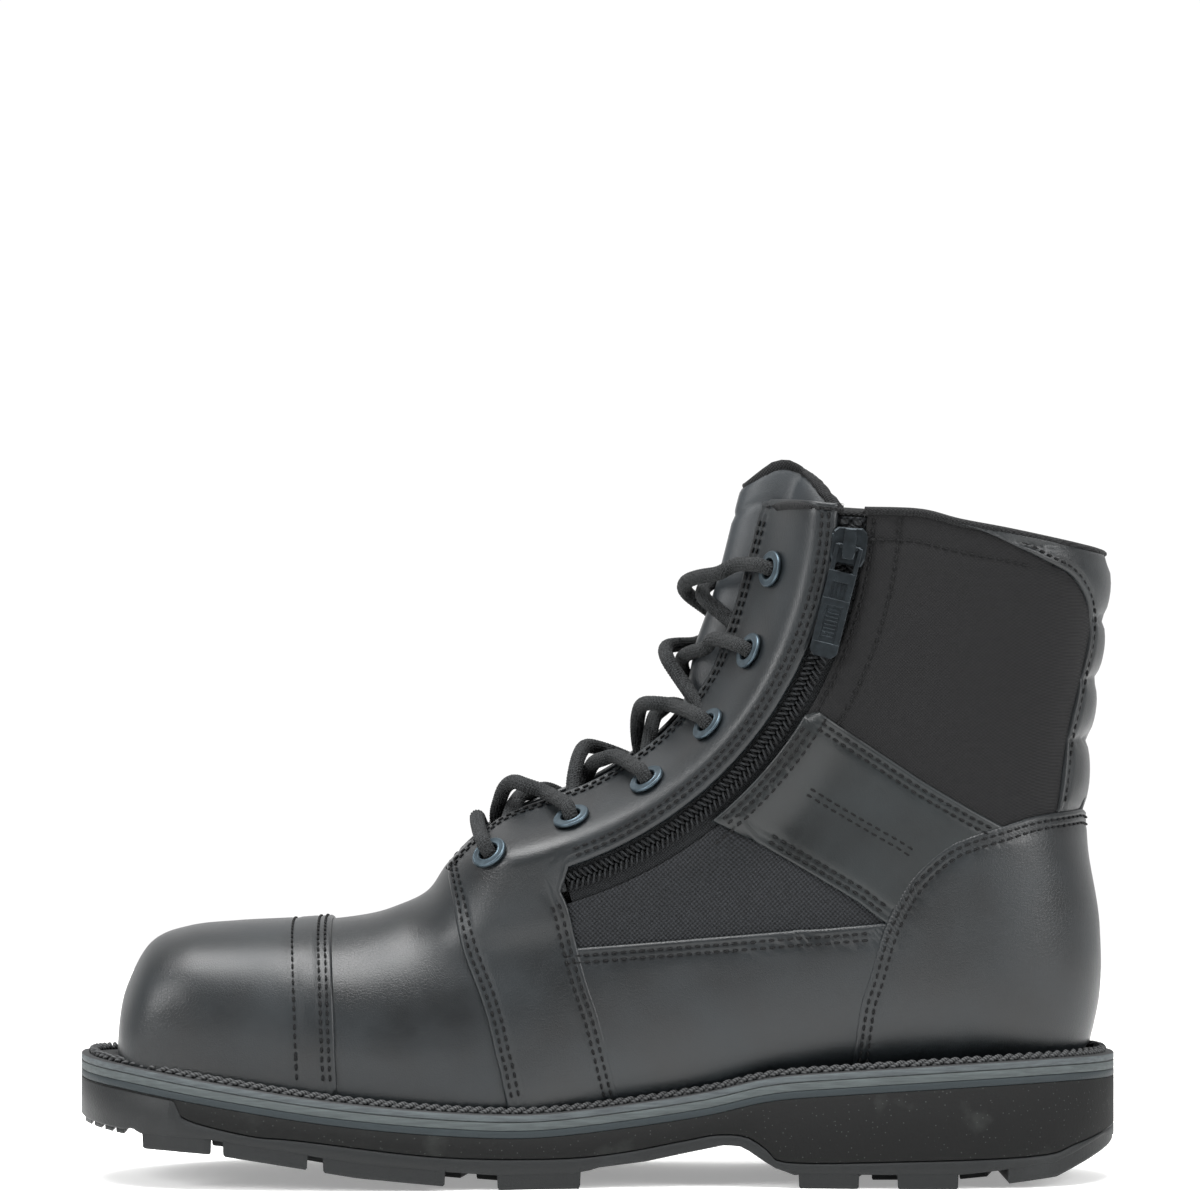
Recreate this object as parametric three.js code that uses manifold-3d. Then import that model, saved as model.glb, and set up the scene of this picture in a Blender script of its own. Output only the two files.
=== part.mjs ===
// Lace-up work boot with a side zip, right foot.
// Millimetres. +Z up, toe towards -X, zip (inner) side towards -Y, origin on the ground
// under the middle of the boot.
import * as THREE from 'three';
import { mergeVertices } from 'three/addons/utils/BufferGeometryUtils.js';
import Module from 'manifold-3d';

const wasm = await Module();
wasm.setup();

// ---------------------------------------------------------------- driving dimensions
const GAP = 0.3;                 // clearance between pieces that touch on the real boot

// Upper, from the outside in.
const LEATHER = 2.0;             // thickness of the outer leather and textile panels
const PADDING = 1.9;             // toe cap, stiffener and foam layer
const LINING = 1.1;
const SEAM = 0.3;                // gap between neighbouring panels

// Sole layers, from the top down.
const WELT_THICK = 2.2;
const BOARD_THICK = 2.0;         // leatherboard midsole
const SLIP_THICK = 2.0;          // rubber slip sole
const WELT_WIDTH = 13;
const WELT_THREAD = 0.95;         // radius of the welt stitch
const WELT_THREAD_INSET = 1.7;   // its distance from the sole edge
const INSOLE_THICK = 2.5;
const FOOTBED_THICK = 5;
const SHANK = { from: -24, to: 66, width: 13, thick: 1.2 };

// Zip: a flat circular arc in a plane of constant Y.
const ZIP = {
  x: -44, z: 202.9, radius: 118.5, plane: -41,
  top: 4.2, bottom: 73,          // degrees below the horizontal
  window: 4.3,                   // half width of the slot between the leather edges
  coilWidth: 2.0, coilGap: 1.6, coilThick: 2.0,
  tapeWidth: 8, tapeThick: 0.7,
};
const SLIDER = { at: 7.2, width: 10.8, length: 11, plate: 1.4, post: 1.0, under: 7.4 };
const PULL = { width: 8.2, length: 33, thick: 1.6, slant: 14, pivotRadius: 0.65 };

// Lacing.
const EYELET = { flange: 5.5, hole: 3.2, barrel: 3.65, proud: 0.8 };
const LACE_RADIUS = 2.1;
const LACE_BED = 0.3;            // clearance of the lace in the leather it beds into
const THROAT = 13;               // half width between the eyestay edges at the bottom
const THROAT_TOP = 17;           // and at the top
const TONGUE_THICK = 3.6;
const TONGUE_SINK = 8.9;         // depth of the tongue's face under the eyestays
const TONGUE_SPREAD = 0.86;      // radians of the section each way from the ridge
const THROAT_TURN = 0.5;         // half width of the throat as a share of the tongue's

// Ridge F and base B of each section in side view, then the half widths on the zip side
// and the outer side, where the section is widest between B and F, how square it is at
// B and at F, and the ridge's and the base's own offset along Y.
const SECTIONS = [
  //  Fx     Fz     Bx    Bz   zip outer peak  nB   nF   yF  yB
  [-141.6, 42.0, -141.6, 34.0, 12.0, -4.0, 0.50, 2.0, 2.0, -8, -8],
  [-141.2, 50.0, -141.0, 29.5, 26.0, 10.0, 0.45, 2.5, 2.2, -8, -8],
  [-139.0, 58.5, -138.6, 27.5, 35.5, 20.5, 0.40, 3.5, 2.4, -8, -8],
  [-132.5, 70.0, -132.0, 26.0, 41.5, 29.0, 0.38, 5.0, 2.6, -7, -7],
  [-122.0, 74.3, -120.0, 24.0, 44.5, 36.0, 0.38, 5.5, 2.7, -7, -6],
  [-108.0, 75.7, -105.0, 20.0, 46.0, 41.0, 0.37, 6.0, 2.6, -6, -5],
  [ -88.0, 76.8,  -84.0, 16.5, 47.0, 44.5, 0.34, 6.0, 2.4, -6, -3],
  [ -68.0, 79.3,  -60.0, 14.5, 46.6, 46.3, 0.32, 6.0, 2.2, -5, -2],
  [ -52.5, 85.1,  -36.0, 13.5, 45.3, 45.4, 0.32, 5.0, 2.1, -5, -2],
  [ -44.5, 95.0,  -18.0, 13.5, 43.8, 43.6, 0.33, 4.0, 2.0, -4, -2],
  [ -30.0, 108.8,   4.0, 15.0, 42.5, 41.5, 0.36, 3.2, 2.0, -4, -2],
  [ -14.5, 116.5,  30.0, 18.5, 41.8, 39.5, 0.40, 3.0, 2.0, -3, -3],
  [  -2.0, 122.5,  60.0, 24.0, 41.4, 38.7, 0.43, 2.9, 2.0, -3, -4],
  [   8.0, 129.0,  92.0, 27.0, 41.3, 38.3, 0.46, 2.8, 2.0, -2, -5],
  [  17.0, 136.5, 120.0, 28.5, 41.3, 38.0, 0.48, 2.7, 2.0, -2, -6],
  [  24.0, 145.0, 140.0, 31.0, 41.3, 38.0, 0.50, 2.5, 2.0, -2, -6],
  [  30.0, 154.0, 148.0, 50.0, 41.3, 38.0, 0.50, 2.3, 2.0, -2, -6],
  [  34.0, 164.0, 149.0, 75.0, 41.3, 38.0, 0.50, 2.2, 2.0, -2, -5],
  [  37.5, 174.0, 145.5, 100.0, 41.2, 38.0, 0.50, 2.2, 2.0, -2, -4],
  [  40.5, 185.0, 145.5, 125.0, 41.0, 38.0, 0.50, 2.2, 2.0, -2, -3],
  [  43.5, 197.0, 148.5, 150.0, 41.0, 38.0, 0.50, 2.2, 2.0, -2, -3],
  [  46.5, 208.0, 151.5, 175.0, 41.0, 38.0, 0.50, 2.2, 2.0, -2, -3],
  [  51.0, 221.0, 151.5, 207.0, 41.0, 38.0, 0.50, 2.2, 2.0, -2, -3],
];
const STATIONS = 23;             // sections drawn along the upper
const AROUND = [4, 7, 5, 4];     // steps round each quarter of a section, zip side first

// Side-view lines of the sole, toe to heel.
const WELT_TOP = [[-160, 38.4], [-140, 36.2], [-110, 31.2], [-78, 26.3], [-46, 23.1], [-20, 22],
  [5, 24.2], [31, 28], [50, 32.3], [70, 34.2], [110, 36.8], [140, 38], [160, 37.4]];
const RUBBER_TOP = [[-160, 28], [-123.6, 25.8], [-120.4, 21], [-101.3, 16.4], [-86.4, 15],
  [-46, 10.1], [-12.2, 9.1], [7, 10.7], [24.6, 13.9], [35.3, 15.8], [43.9, 15.1], [49.5, 11.5],
  [56, 7.8], [90, 8.3], [129.6, 9.7], [140.7, 12.6], [160, 18.6]];
// The tread's lowest line, without its channels.
const TREAD = [[-154.3, 18.5], [-137, 16], [-133.4, 11.9], [-112, 10.6], [-86, 6.6], [-69.8, 3.9],
  [-46.7, 1.6], [-28.3, 0], [-5.5, 0], [-1.9, 5.9], [14, 7.8], [37.4, 12.6], [42.4, 12.1],
  [51.6, 6], [56.9, 4.3], [58.7, 0], [105.5, 0], [119.7, 1.4], [134.7, 3], [154.3, 11.7]];
const TREAD_CHANNELS = [
  { x: -111, width: 3.4, depth: 3.6 }, { x: -82.4, width: 4.2, depth: 4 },
  { x: -37, width: 13, depth: 4.5 }, { x: 82, width: 7.5, depth: 4 },
  { x: 111, width: 9, depth: 4.6 },
];
const CHANNEL_REACH = 17;        // how far a tread channel runs in from the edge

// Sole edge in plan, anticlockwise from the toe tip along the zip side.
const SOLE_EDGE = [[-154.2, -8], [-151, -24], [-143, -37], [-128, -47], [-105, -52.3], [-80, -53.4],
  [-50, -51.8], [-20, -46.5], [5, -42.6], [27, -41], [52, -42.5], [80, -45.2], [105, -45.8],
  [126, -42], [142, -33], [151, -20], [154.2, -6], [152.5, 6], [146, 18], [133, 28], [112, 34],
  [85, 36], [55, 37.5], [25, 40], [-5, 45], [-35, 50.5], [-65, 53.4], [-92, 51.5], [-115, 45],
  [-133, 34], [-146, 19], [-152.8, 5]];

// Panel outlines in side view.
const TOE_SEAM = [[-79.8, 84], [-77.6, 58], [-76, 18]];
const QUARTER_FRONT = [[-46.5, 101], [-44.7, 93.5], [-42.5, 83.2], [-39.6, 69.6], [-32.2, 49.5],
  [-24.5, 14]];
const QUARTER_REAR = [[-10.9, 86.9], [-8.6, 81.6], [-6, 70.4], [-2.7, 59.2], [1.1, 47.2], [9, 14]];
const MESH_BOTTOM = [[-6, 70.4], [40, 74], [84.7, 77.5]];
const STRAP_LOWER = [[84.7, 77.5], [46.6, 101.2]];
const STRAP_UPPER = [[64.5, 139.8], [94.4, 119.8], [118.9, 105.9]];
const HEEL_EDGE = [[73, 20], [76.5, 50.7], [79.5, 61.3], [82.9, 73.1], [86.2, 81.4], [92.3, 91.2],
  [101.2, 99.4], [108.9, 103], [118.9, 105.9], [129.3, 108.8], [165, 111]];
const BACKSTAY_EDGE = [[106, 200], [106, 194.7], [115.4, 191.8], [132.3, 183.6], [140.9, 178.3],
  [146, 166.8], [143, 149], [139, 132], [136, 110]];
const COLLAR_TOP = [[76.5, 198.2], [94.3, 197.6], [106, 194.7], [120.6, 192], [151.8, 185.6],
  [165, 184]];
const EYESTAY_TOP = [[30, 196], [46, 199.7], [50.4, 202], [57.2, 202], [72, 200.6]];
const TONGUE_TOP = [[30, 150], [30, 200], [48, 208.4], [51.3, 213.5], [53.4, 214.7], [58.5, 213.2],
  [63, 209.9], [66, 205.7], [70, 199], [90, 150]];
const EYELETS = [[-31.4, 97.3], [-7.5, 107.6], [14.9, 118.7], [33.1, 135.2], [45.4, 157],
  [51.9, 181.3]];

// ---------------------------------------------------------------- materials
const paint = (color, roughness, metalness = 0) =>
  new THREE.MeshStandardMaterial({ color, roughness, metalness });
const M = {
  leather: paint(0x383c3e, 0.45), strap: paint(0x33393c, 0.5), textile: paint(0x303031, 0.9),
  lining: paint(0x2b2c2e, 0.95), foam: paint(0x55575a, 0.9), steel: paint(0x8d9294, 0.35, 0.9),
  board: paint(0x60645f, 0.8), rubber: paint(0x2a2c2c, 0.7), eva: paint(0x292b2a, 0.85),
  thread: paint(0x1d1e1f, 0.8), lace: paint(0x26282a, 0.85), zip: paint(0x232527, 0.45),
  eyelet: paint(0x4d585e, 0.35, 0.7), slider: paint(0x2b2e30, 0.3, 0.6),
};

// ---------------------------------------------------------------- solids
function solidOf(geometry) {
  for (const name of Object.keys(geometry.attributes)) {
    if (name !== 'position') geometry.deleteAttribute(name);
  }
  const merged = mergeVertices(geometry, 1e-4);
  return new wasm.Manifold(new wasm.Mesh({
    numProp: 3,
    vertProperties: new Float32Array(merged.attributes.position.array),
    triVerts: new Uint32Array(merged.index.array),
  }));
}

const boot = new THREE.Group();

function add(name, solid, material) {
  const mesh = solid.getMesh();
  const geometry = new THREE.BufferGeometry();
  geometry.setAttribute('position', new THREE.BufferAttribute(mesh.vertProperties, 3));
  geometry.setIndex(new THREE.BufferAttribute(mesh.triVerts, 1));
  geometry.computeVertexNormals();
  const piece = new THREE.Mesh(geometry, material);
  piece.name = name;
  boot.add(piece);
  return solid;
}

// The largest body of a cut solid: slivers that a cut leaves behind fall away.
function largest(solid) {
  const bodies = solid.decompose();
  bodies.sort((a, b) => b.volume() - a.volume());
  return bodies[0];
}

const shapeOf = (points) => new THREE.Shape(points.map(([a, b]) => new THREE.Vector2(a, b)));

// A side-view outline (x, z) run across the boot from y0 to y1.
function across(points, y0 = -90, y1 = 90) {
  const geometry = new THREE.ExtrudeGeometry(shapeOf(points), { depth: y1 - y0, bevelEnabled: false });
  geometry.rotateX(Math.PI / 2);
  geometry.translate(0, y1, 0);
  return solidOf(geometry);
}

// A plan outline (x, y) run up from z0 to z1.
function upright(points, z0 = -20, z1 = 260) {
  const geometry = new THREE.ExtrudeGeometry(shapeOf(points), { depth: z1 - z0, bevelEnabled: false });
  geometry.translate(0, 0, z0);
  return solidOf(geometry);
}

function block(x0, x1, y0, y1, z0, z1) {
  const geometry = new THREE.BoxGeometry(x1 - x0, y1 - y0, z1 - z0);
  geometry.translate((x0 + x1) / 2, (y0 + y1) / 2, (z0 + z1) / 2);
  return solidOf(geometry);
}

// A closed solid from rings of points, with a fan over each end.
function loft(rings) {
  const count = rings[0].length;
  const position = rings.flat(2);
  const index = [];
  for (let i = 0; i + 1 < rings.length; i++) {
    for (let j = 0; j < count; j++) {
      const a = i * count + j;
      const b = i * count + (j + 1) % count;
      index.push(a, a + count, b, b, a + count, b + count);
    }
  }
  for (const [ring, flip] of [[0, false], [rings.length - 1, true]]) {
    const middle = [0, 1, 2].map((k) => rings[ring].reduce((sum, p) => sum + p[k], 0) / count);
    position.push(...middle);
    const hub = position.length / 3 - 1;
    for (let j = 0; j < count; j++) {
      const a = ring * count + j;
      const b = ring * count + (j + 1) % count;
      index.push(...(flip ? [a, hub, b] : [a, b, hub]));
    }
  }
  const geometry = new THREE.BufferGeometry();
  geometry.setAttribute('position', new THREE.BufferAttribute(new Float32Array(position), 3));
  geometry.setIndex(index);
  const solid = solidOf(geometry);
  return solid.volume() > 0 ? solid : solidOf(flipped(geometry));
}

function flipped(geometry) {
  const index = geometry.index.array;
  for (let i = 0; i < index.length; i += 3) {
    [index[i], index[i + 1]] = [index[i + 1], index[i]];
  }
  return geometry;
}

const evenly = (points, count) => new THREE.CatmullRomCurve3(
  points.map(([a, b]) => new THREE.Vector3(a, b, 0)), false, 'centripetal')
  .getPoints(count).map((p) => [p.x, p.y]);

// Height of a side-view line at x.
function heightAt(line, x) {
  const i = Math.max(1, line.findIndex((p) => p[0] >= x));
  const [a, b] = [line[i - 1], line[i]];
  return a[1] + (b[1] - a[1]) * (x - a[0]) / (b[0] - a[0]);
}

// ---------------------------------------------------------------- the last
const mix = (a, b, t) => a + (b - a) * t;
const smoothstep = (a, b, x) => {
  const t = Math.min(1, Math.max(0, (x - a) / (b - a)));
  return t * t * (3 - 2 * t);
};

// One column of SECTIONS at a fractional station.
function column(k, s) {
  const last = SECTIONS.length - 1;
  const i = Math.min(last - 1, Math.floor(s));
  const t = s - i;
  const at = (n) => SECTIONS[Math.min(last, Math.max(0, n))][k];
  const [p0, p1, p2, p3] = [at(i - 1), at(i), at(i + 1), at(i + 2)];
  return p1 + 0.5 * t * (p2 - p0 + t * (2 * p0 - 5 * p1 + 4 * p2 - p3 + t * (3 * (p1 - p2) + p3 - p0)));
}

// A side-view line's point at s, moved h along its outward normal.
function edgeAt(k, s, h, turn) {
  const e = 0.02;
  const dx = column(k, s + e) - column(k, s - e);
  const dz = column(k + 1, s + e) - column(k + 1, s - e);
  const long = Math.hypot(dx, dz) || 1;
  return [column(k, s) - turn * dz / long * h, column(k + 1, s) + turn * dx / long * h];
}

// A point of the upper at station s, angle a round the section (0 at the base, half a
// turn at the ridge, the zip side first) and height h above the outer surface.
function onLast(s, a, h, flatten = true) {
  const ridge = edgeAt(0, s, h, 1);
  const base = edgeAt(2, s, h, -1);
  const [zipSide, outer, peak, nB, nF, yF, yB] = [4, 5, 6, 7, 8, 9, 10].map((k) => column(k, s));
  const zip = a <= Math.PI;
  const turn = zip ? a : 2 * Math.PI - a;
  const sin = Math.max(0, Math.sin(turn));
  const cos = Math.abs(Math.cos(turn));
  const low = turn < Math.PI / 2;
  const n = low ? nB : nF;
  const along = Math.pow(cos, 2 / n);
  const t = low ? peak * (1 - along) : peak + (1 - peak) * along;
  const middle = mix(yB, yF, t);
  const widest = mix(yB, yF, peak);
  const half = Math.max(0.4, (zip ? zipSide + widest : outer - widest) + h);
  const x = mix(base[0], ridge[0], t);
  const z = mix(base[1], ridge[1], t);
  let y = middle + (zip ? -1 : 1) * half * Math.pow(sin, 2 / n);
  if (zip && flatten) {
    const dx = x - ZIP.x;
    const dz = z - ZIP.z;
    const off = Math.abs(Math.hypot(dx, dz) - ZIP.radius);
    const below = Math.atan2(-dz, dx) * 180 / Math.PI;
    const flat = smoothstep(20, 8.5, off) * smoothstep(-20, -4, below) * smoothstep(94, 79, below);
    y = mix(y, ZIP.plane - h, flat);
  }
  return [x, y, z];
}

const lastRow = SECTIONS.length - 1;
function lastSolid(h) {
  const rings = [];
  for (let i = 0; i <= STATIONS; i++) {
    const ring = [];
    AROUND.forEach((steps, quarter) => {
      for (let j = 0; j < steps; j++) {
        ring.push(onLast(lastRow * i / STATIONS, (quarter + j / steps) * Math.PI / 2, h));
      }
    });
    rings.push(ring);
  }
  return loft(rings);
}

const LAYER = {
  outer: [0, -LEATHER],
  middle: [-LEATHER - GAP, -LEATHER - GAP - PADDING],
  inner: [-LEATHER - PADDING - 2 * GAP, -LEATHER - PADDING - 2 * GAP - LINING],
};
const INSIDE = LAYER.inner[1] - GAP;

const welt = evenly(WELT_TOP, 15);
const aboveWelt = (lift) => [...welt.map(([x, z]) => [x, z + lift]), [200, 300], [-200, 300]];
const collarLine = [...EYESTAY_TOP, ...COLLAR_TOP];
const belowCollar = across([[-200, -50], [200, -50], [200, 184], ...[...collarLine].reverse(),
  [-200, 196]]);
const aboveWeltSolid = across(aboveWelt(GAP));

function layer([outside, inside]) {
  return lastSolid(outside).subtract(lastSolid(inside)).intersect(aboveWeltSolid)
    .intersect(belowCollar);
}

// ---------------------------------------------------------------- zip
const zipPoint = (angle, off) => {
  const a = angle * Math.PI / 180;
  const r = ZIP.radius + off;
  return [ZIP.x + r * Math.cos(a), ZIP.z - r * Math.sin(a)];
};
function zipBand(from, to, inner, outer, y0, y1, steps = 16) {
  const line = [];
  for (let i = 0; i <= steps; i++) line.push(zipPoint(mix(from, to, i / steps), outer));
  for (let i = steps; i >= 0; i--) line.push(zipPoint(mix(from, to, i / steps), inner));
  return across(line, y0, y1);
}

const tapeFace = ZIP.plane + LEATHER + GAP;          // the tape lies behind the leather
const tapeBack = tapeFace + ZIP.tapeThick;
const coilFace = tapeFace - ZIP.coilThick - 0.05;
const zipWindow = zipBand(-12, ZIP.bottom + 2, -ZIP.window, ZIP.window, -60, -20);
// Room for the tapes behind the leather, and for the slider's flanges in front of it.
const tapeRoom = zipBand(-12, ZIP.bottom + 4, -ZIP.tapeWidth - 2, ZIP.tapeWidth + 3,
  tapeFace - GAP, -20);
const sliderRoom = zipBand(-12, 88, -SLIDER.width / 2 - 1.5, SLIDER.width / 2 + 1.5, -60, ZIP.plane);
const zipPocket = zipBand(-12, ZIP.bottom + 4, -ZIP.tapeWidth - 2, ZIP.tapeWidth + 2, -60, -20);

for (const [side, sign] of [['front', -1], ['rear', 1]]) {
  const near = sign * ZIP.coilGap / 2;
  const coilFar = sign * (ZIP.coilGap / 2 + ZIP.coilWidth);
  const tapeFar = sign * ZIP.tapeWidth;
  const band = (far, y0, y1) => zipBand(ZIP.top, ZIP.bottom, Math.min(near, far),
    Math.max(near, far), y0, y1);
  add(`zip_tape_${side}`, band(tapeFar, tapeFace, tapeBack), M.textile);
  add(`zip_coil_${side}`, band(coilFar, coilFace, tapeFace - 0.05), M.zip);
}
const stop = ZIP.bottom;
add('zip_bottom_stop', zipBand(stop + 0.2, stop + 1.9, -2.6, 2.6, coilFace, tapeBack, 3), M.zip);
for (const [side, sign] of [['front', -1], ['rear', 1]]) {
  const from = sign < 0 ? -3.1 : 0.9;
  add(`zip_top_stop_${side}`, zipBand(ZIP.top - 0.85, ZIP.top - 0.2, from, from + 2.2,
    coilFace, tapeBack, 2), M.zip);
}
const gussetFace = tapeBack + 2.2;
add('zip_gusset', zipBand(ZIP.top, ZIP.bottom + 3, -ZIP.tapeWidth - 1.4, ZIP.tapeWidth + 1.4,
  gussetFace, gussetFace + 1), M.textile);

// Slider: two plates joined by a thin post that runs between the coils.
const radians = (degrees) => degrees * Math.PI / 180;
const half = SLIDER.length / 2 / ZIP.radius * 180 / Math.PI;
const sliderBand = (inner, outer, y0, y1, from = -half, to = half) =>
  zipBand(SLIDER.at + from, SLIDER.at + to, inner, outer, y0, y1, 6);
const plateBack = coilFace - 0.35;
const plateFace = plateBack - SLIDER.plate;
const overLeather = ZIP.plane - 0.35;
const underFace = tapeBack + 0.35;
const bridge = [plateFace - 3.4, plateFace];
const wide = SLIDER.width / 2;
let slider = sliderBand(-wide, wide, plateFace, plateBack)
  .add(sliderBand(-wide, -wide + 1.2, plateFace, Math.max(overLeather, plateBack + 0.1)))
  .add(sliderBand(wide - 1.2, wide, plateFace, Math.max(overLeather, plateBack + 0.1)))
  .add(sliderBand(-SLIDER.under / 2, SLIDER.under / 2, underFace, underFace + 0.8))
  .add(sliderBand(-SLIDER.post / 2, SLIDER.post / 2, plateFace, underFace + 0.4, -half, -half * 0.4))
  .add(sliderBand(-1.7, 1.7, ...bridge, -half * 0.85, half * 0.7));
const bridgeWindow = sliderBand(-3, 3, bridge[0] + 1.0, plateFace - 0.02, -half * 0.55, half * 0.42);
slider = slider.subtract(bridgeWindow);
add('zip_slider', slider, M.slider);

// Pull: a flat tab whose cross pin sits inside the bridge.
const pinAt = zipPoint(SLIDER.at + half * 0.05, 0);
const pinDepth = (bridge[0] + 1.0 + plateFace) / 2;
function pullOutline(w, from, to) {
  return [[-w, -to], [w, -to], [w, -from], [-w, -from]];
}
function pullPart(points, y0, y1) {
  const geometry = new THREE.ExtrudeGeometry(shapeOf(points), { depth: y1 - y0, bevelEnabled: false });
  geometry.rotateX(Math.PI / 2);
  geometry.translate(0, y1, 0);
  geometry.rotateY(radians(PULL.slant));
  geometry.translate(pinAt[0], pinDepth, pinAt[1]);
  return solidOf(geometry);
}
const pw = PULL.width / 2;
const pt = PULL.thick / 2;
const pin = new THREE.CylinderGeometry(PULL.pivotRadius, PULL.pivotRadius, PULL.width - 1, 10);
pin.rotateZ(Math.PI / 2);
pin.rotateY(radians(PULL.slant));
pin.translate(pinAt[0], pinDepth, pinAt[1]);
const tab = pullPart([[-pw, -PULL.length + 1.5], [-pw + 1.5, -PULL.length], [pw - 1.5, -PULL.length],
  [pw, -PULL.length + 1.5], [pw, -2], [pw - 0.7, 0.8], [-pw + 0.7, 0.8], [-pw, -2]], -pt, pt)
  .subtract(pullPart(pullOutline(2.7, -3, 7.4), -5, 5))
  .subtract(pullPart(pullOutline(2.2, 10, 16), -5, -pt + 0.5))
  .subtract(pullPart(pullOutline(2.2, 17.5, 29), -5, -pt + 0.5))
  .add(solidOf(pin));
add('zip_pull', tab, M.slider);

// ---------------------------------------------------------------- upper panels
const FAR = 200;
const toe = [[-FAR, 0], ...[...TOE_SEAM].reverse().map(([x, z]) => [x - SEAM, z]), [-FAR, 120]];
const quarterFront = evenly(QUARTER_FRONT, 12);
const vamp = [...[...TOE_SEAM].reverse(), ...quarterFront.map(([x, z]) => [x - SEAM, z])];
const arcBetween = (from, to, off, steps = 16) =>
  Array.from({ length: steps + 1 }, (_, i) => zipPoint(mix(from, to, i / steps), off));
const quarterRear = evenly(QUARTER_REAR, 12);
const eyestay = [...quarterFront, ...[...quarterRear].reverse(),
  ...arcBetween(72, -6, -ZIP.window, 22), [60, 240], [-90, 240]];
const lowerQuarter = [...quarterRear.filter(([, z]) => z < 69.9).map(([x, z]) => [x + SEAM + 0.15, z]),
  [110, 14], [110, 79.2],
  ...[...MESH_BOTTOM].reverse().map(([x, z]) => [x + 0.4, z - SEAM])];
const heelEdge = evenly(HEEL_EDGE, 24);
const moved = (line, dx, dz) => line.map(([x, z]) => [x + dx, z + dz]);
const heelCover = [...heelEdge, [FAR, 111], [FAR, 0], [73, 0]];
const heelRoom = [...moved(heelEdge, -SEAM, SEAM), [FAR, 111.3], [FAR, 0], [73 - SEAM, 0]];
const rearEdge = (side) => (side < 0 ? ZIP.window : -ZIP.window + SEAM);
const meshPanel = (side) => [[-5.7, 70.7], [40, 74.3], [84, 77.6], [46.2, 101],
  ...arcBetween(52, 70.5, rearEdge(side)), [-10.6, 86.9], [-8.3, 81.6]];
const strap = (side) => [...STRAP_UPPER.map(([x, z]) => [x, z - SEAM]), [125, 90], ...STRAP_LOWER,
  ...arcBetween(51, 31.5, rearEdge(side), 6)];
const collarPanel = (side) => [...STRAP_UPPER, [129.3, 109.1], [135.6, 110.4],
  ...[...BACKSTAY_EDGE].reverse().slice(1).map(([x, z]) => [x - SEAM, z]), [76, 230],
  ...arcBetween(-8, 31, rearEdge(side), 8)];
const backstay = [...BACKSTAY_EDGE, [136.1, 110.6], [FAR, 111.4], [FAR, 230], [106, 230]];

const outerLayer = layer(LAYER.outer);
function throatCut(margin) {
  const along = [Math.SQRT1_2, Math.SQRT1_2];
  const start = [-52, 86];
  const corner = (u, n, y) => [start[0] + along[0] * u - along[1] * n, y,
    start[1] + along[1] * u + along[0] * n];
  const end = 190;
  const ring = (n) => [corner(8, n, -THROAT - 3 + margin), corner(8, n, THROAT - 3 - margin),
    corner(end, n, THROAT_TOP - 2 - margin), corner(end, n, -THROAT_TOP - 2 + margin)];
  return loft([ring(-26), ring(60)]);
}
const nearZip = (points) => across(points, -90, -3);
const outerSide = (points) => across(points, -2.4, 90);

add('toe_leather', largest(outerLayer.intersect(across(toe))), M.leather);
add('vamp', largest(outerLayer.intersect(across(vamp))), M.leather);
add('heel_cover', largest(outerLayer.intersect(across(heelCover))), M.leather);
add('quilted_backstay', largest(outerLayer.subtract(across(heelRoom)).intersect(across(backstay))),
  M.leather);

// Eyelet frames: position on the eyestay, outward normal.
function eyeletFrame([x, z], side) {
  let best = null;
  for (let s = 8; s <= 22; s += 0.05) {
    for (let a = 0.5; a <= 0.95; a += 0.01) {
      const turn = side < 0 ? a * Math.PI : (2 - a) * Math.PI;
      const p = onLast(s, turn, 0);
      const miss = Math.hypot(p[0] - x, p[2] - z);
      if (!best || miss < best.miss) best = { miss, p, s, turn };
    }
  }
  const at = (s, a) => new THREE.Vector3(...onLast(s, a, 0));
  const ds = at(best.s + 0.1, best.turn).sub(at(best.s - 0.1, best.turn));
  const da = at(best.s, best.turn + 0.02).sub(at(best.s, best.turn - 0.02));
  const normal = ds.cross(da).normalize();
  if (normal.y * side < 0) normal.negate();
  return { at: new THREE.Vector3(...best.p), normal, s: best.s, turn: best.turn };
}
function placed(geometry, frame) {
  const turn = new THREE.Quaternion().setFromUnitVectors(new THREE.Vector3(0, 0, 1), frame.normal);
  geometry.applyQuaternion(turn);
  geometry.translate(...frame.at.toArray());
  return solidOf(geometry);
}
function ring(profile, sides) {
  const points = [...profile, profile[0]].map(([r, z]) => new THREE.Vector2(r, z));
  const geometry = new THREE.LatheGeometry(points, sides);
  geometry.rotateX(Math.PI / 2);
  return geometry;
}
const sides = [['inner', -1], ['outer', 1]];
const frames = Object.fromEntries(sides.map(([name, side]) =>
  [name, EYELETS.map((point) => eyeletFrame(point, side))]));
const eyeletProfile = [[EYELET.hole, -LEATHER - 0.4], [EYELET.barrel, -LEATHER - 0.4],
  [EYELET.barrel, GAP], [EYELET.flange, GAP + 0.1], [EYELET.flange - 0.6, EYELET.proud + GAP],
  [EYELET.hole + 0.4, EYELET.proud + GAP]];

// Height of the tongue's face: under the eyestays it is sunk, in the throat it bulges.
const TONGUE_FROM = 8.3;
const TONGUE_TO = lastRow - 0.15;
function tongueBulge(s, across01) {
  const fall = smoothstep(0.46, 0.1, Math.abs(across01));
  const rise = smoothstep(13.8, 16.6, s);
  const settle = smoothstep(8.3, 10.5, s);
  const edge = mix(INSIDE, -TONGUE_SINK, settle);
  const crown = mix(-TONGUE_SINK + 3.2, 3.2, rise);
  return mix(edge, mix(INSIDE, crown, settle), fall);
}

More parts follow.
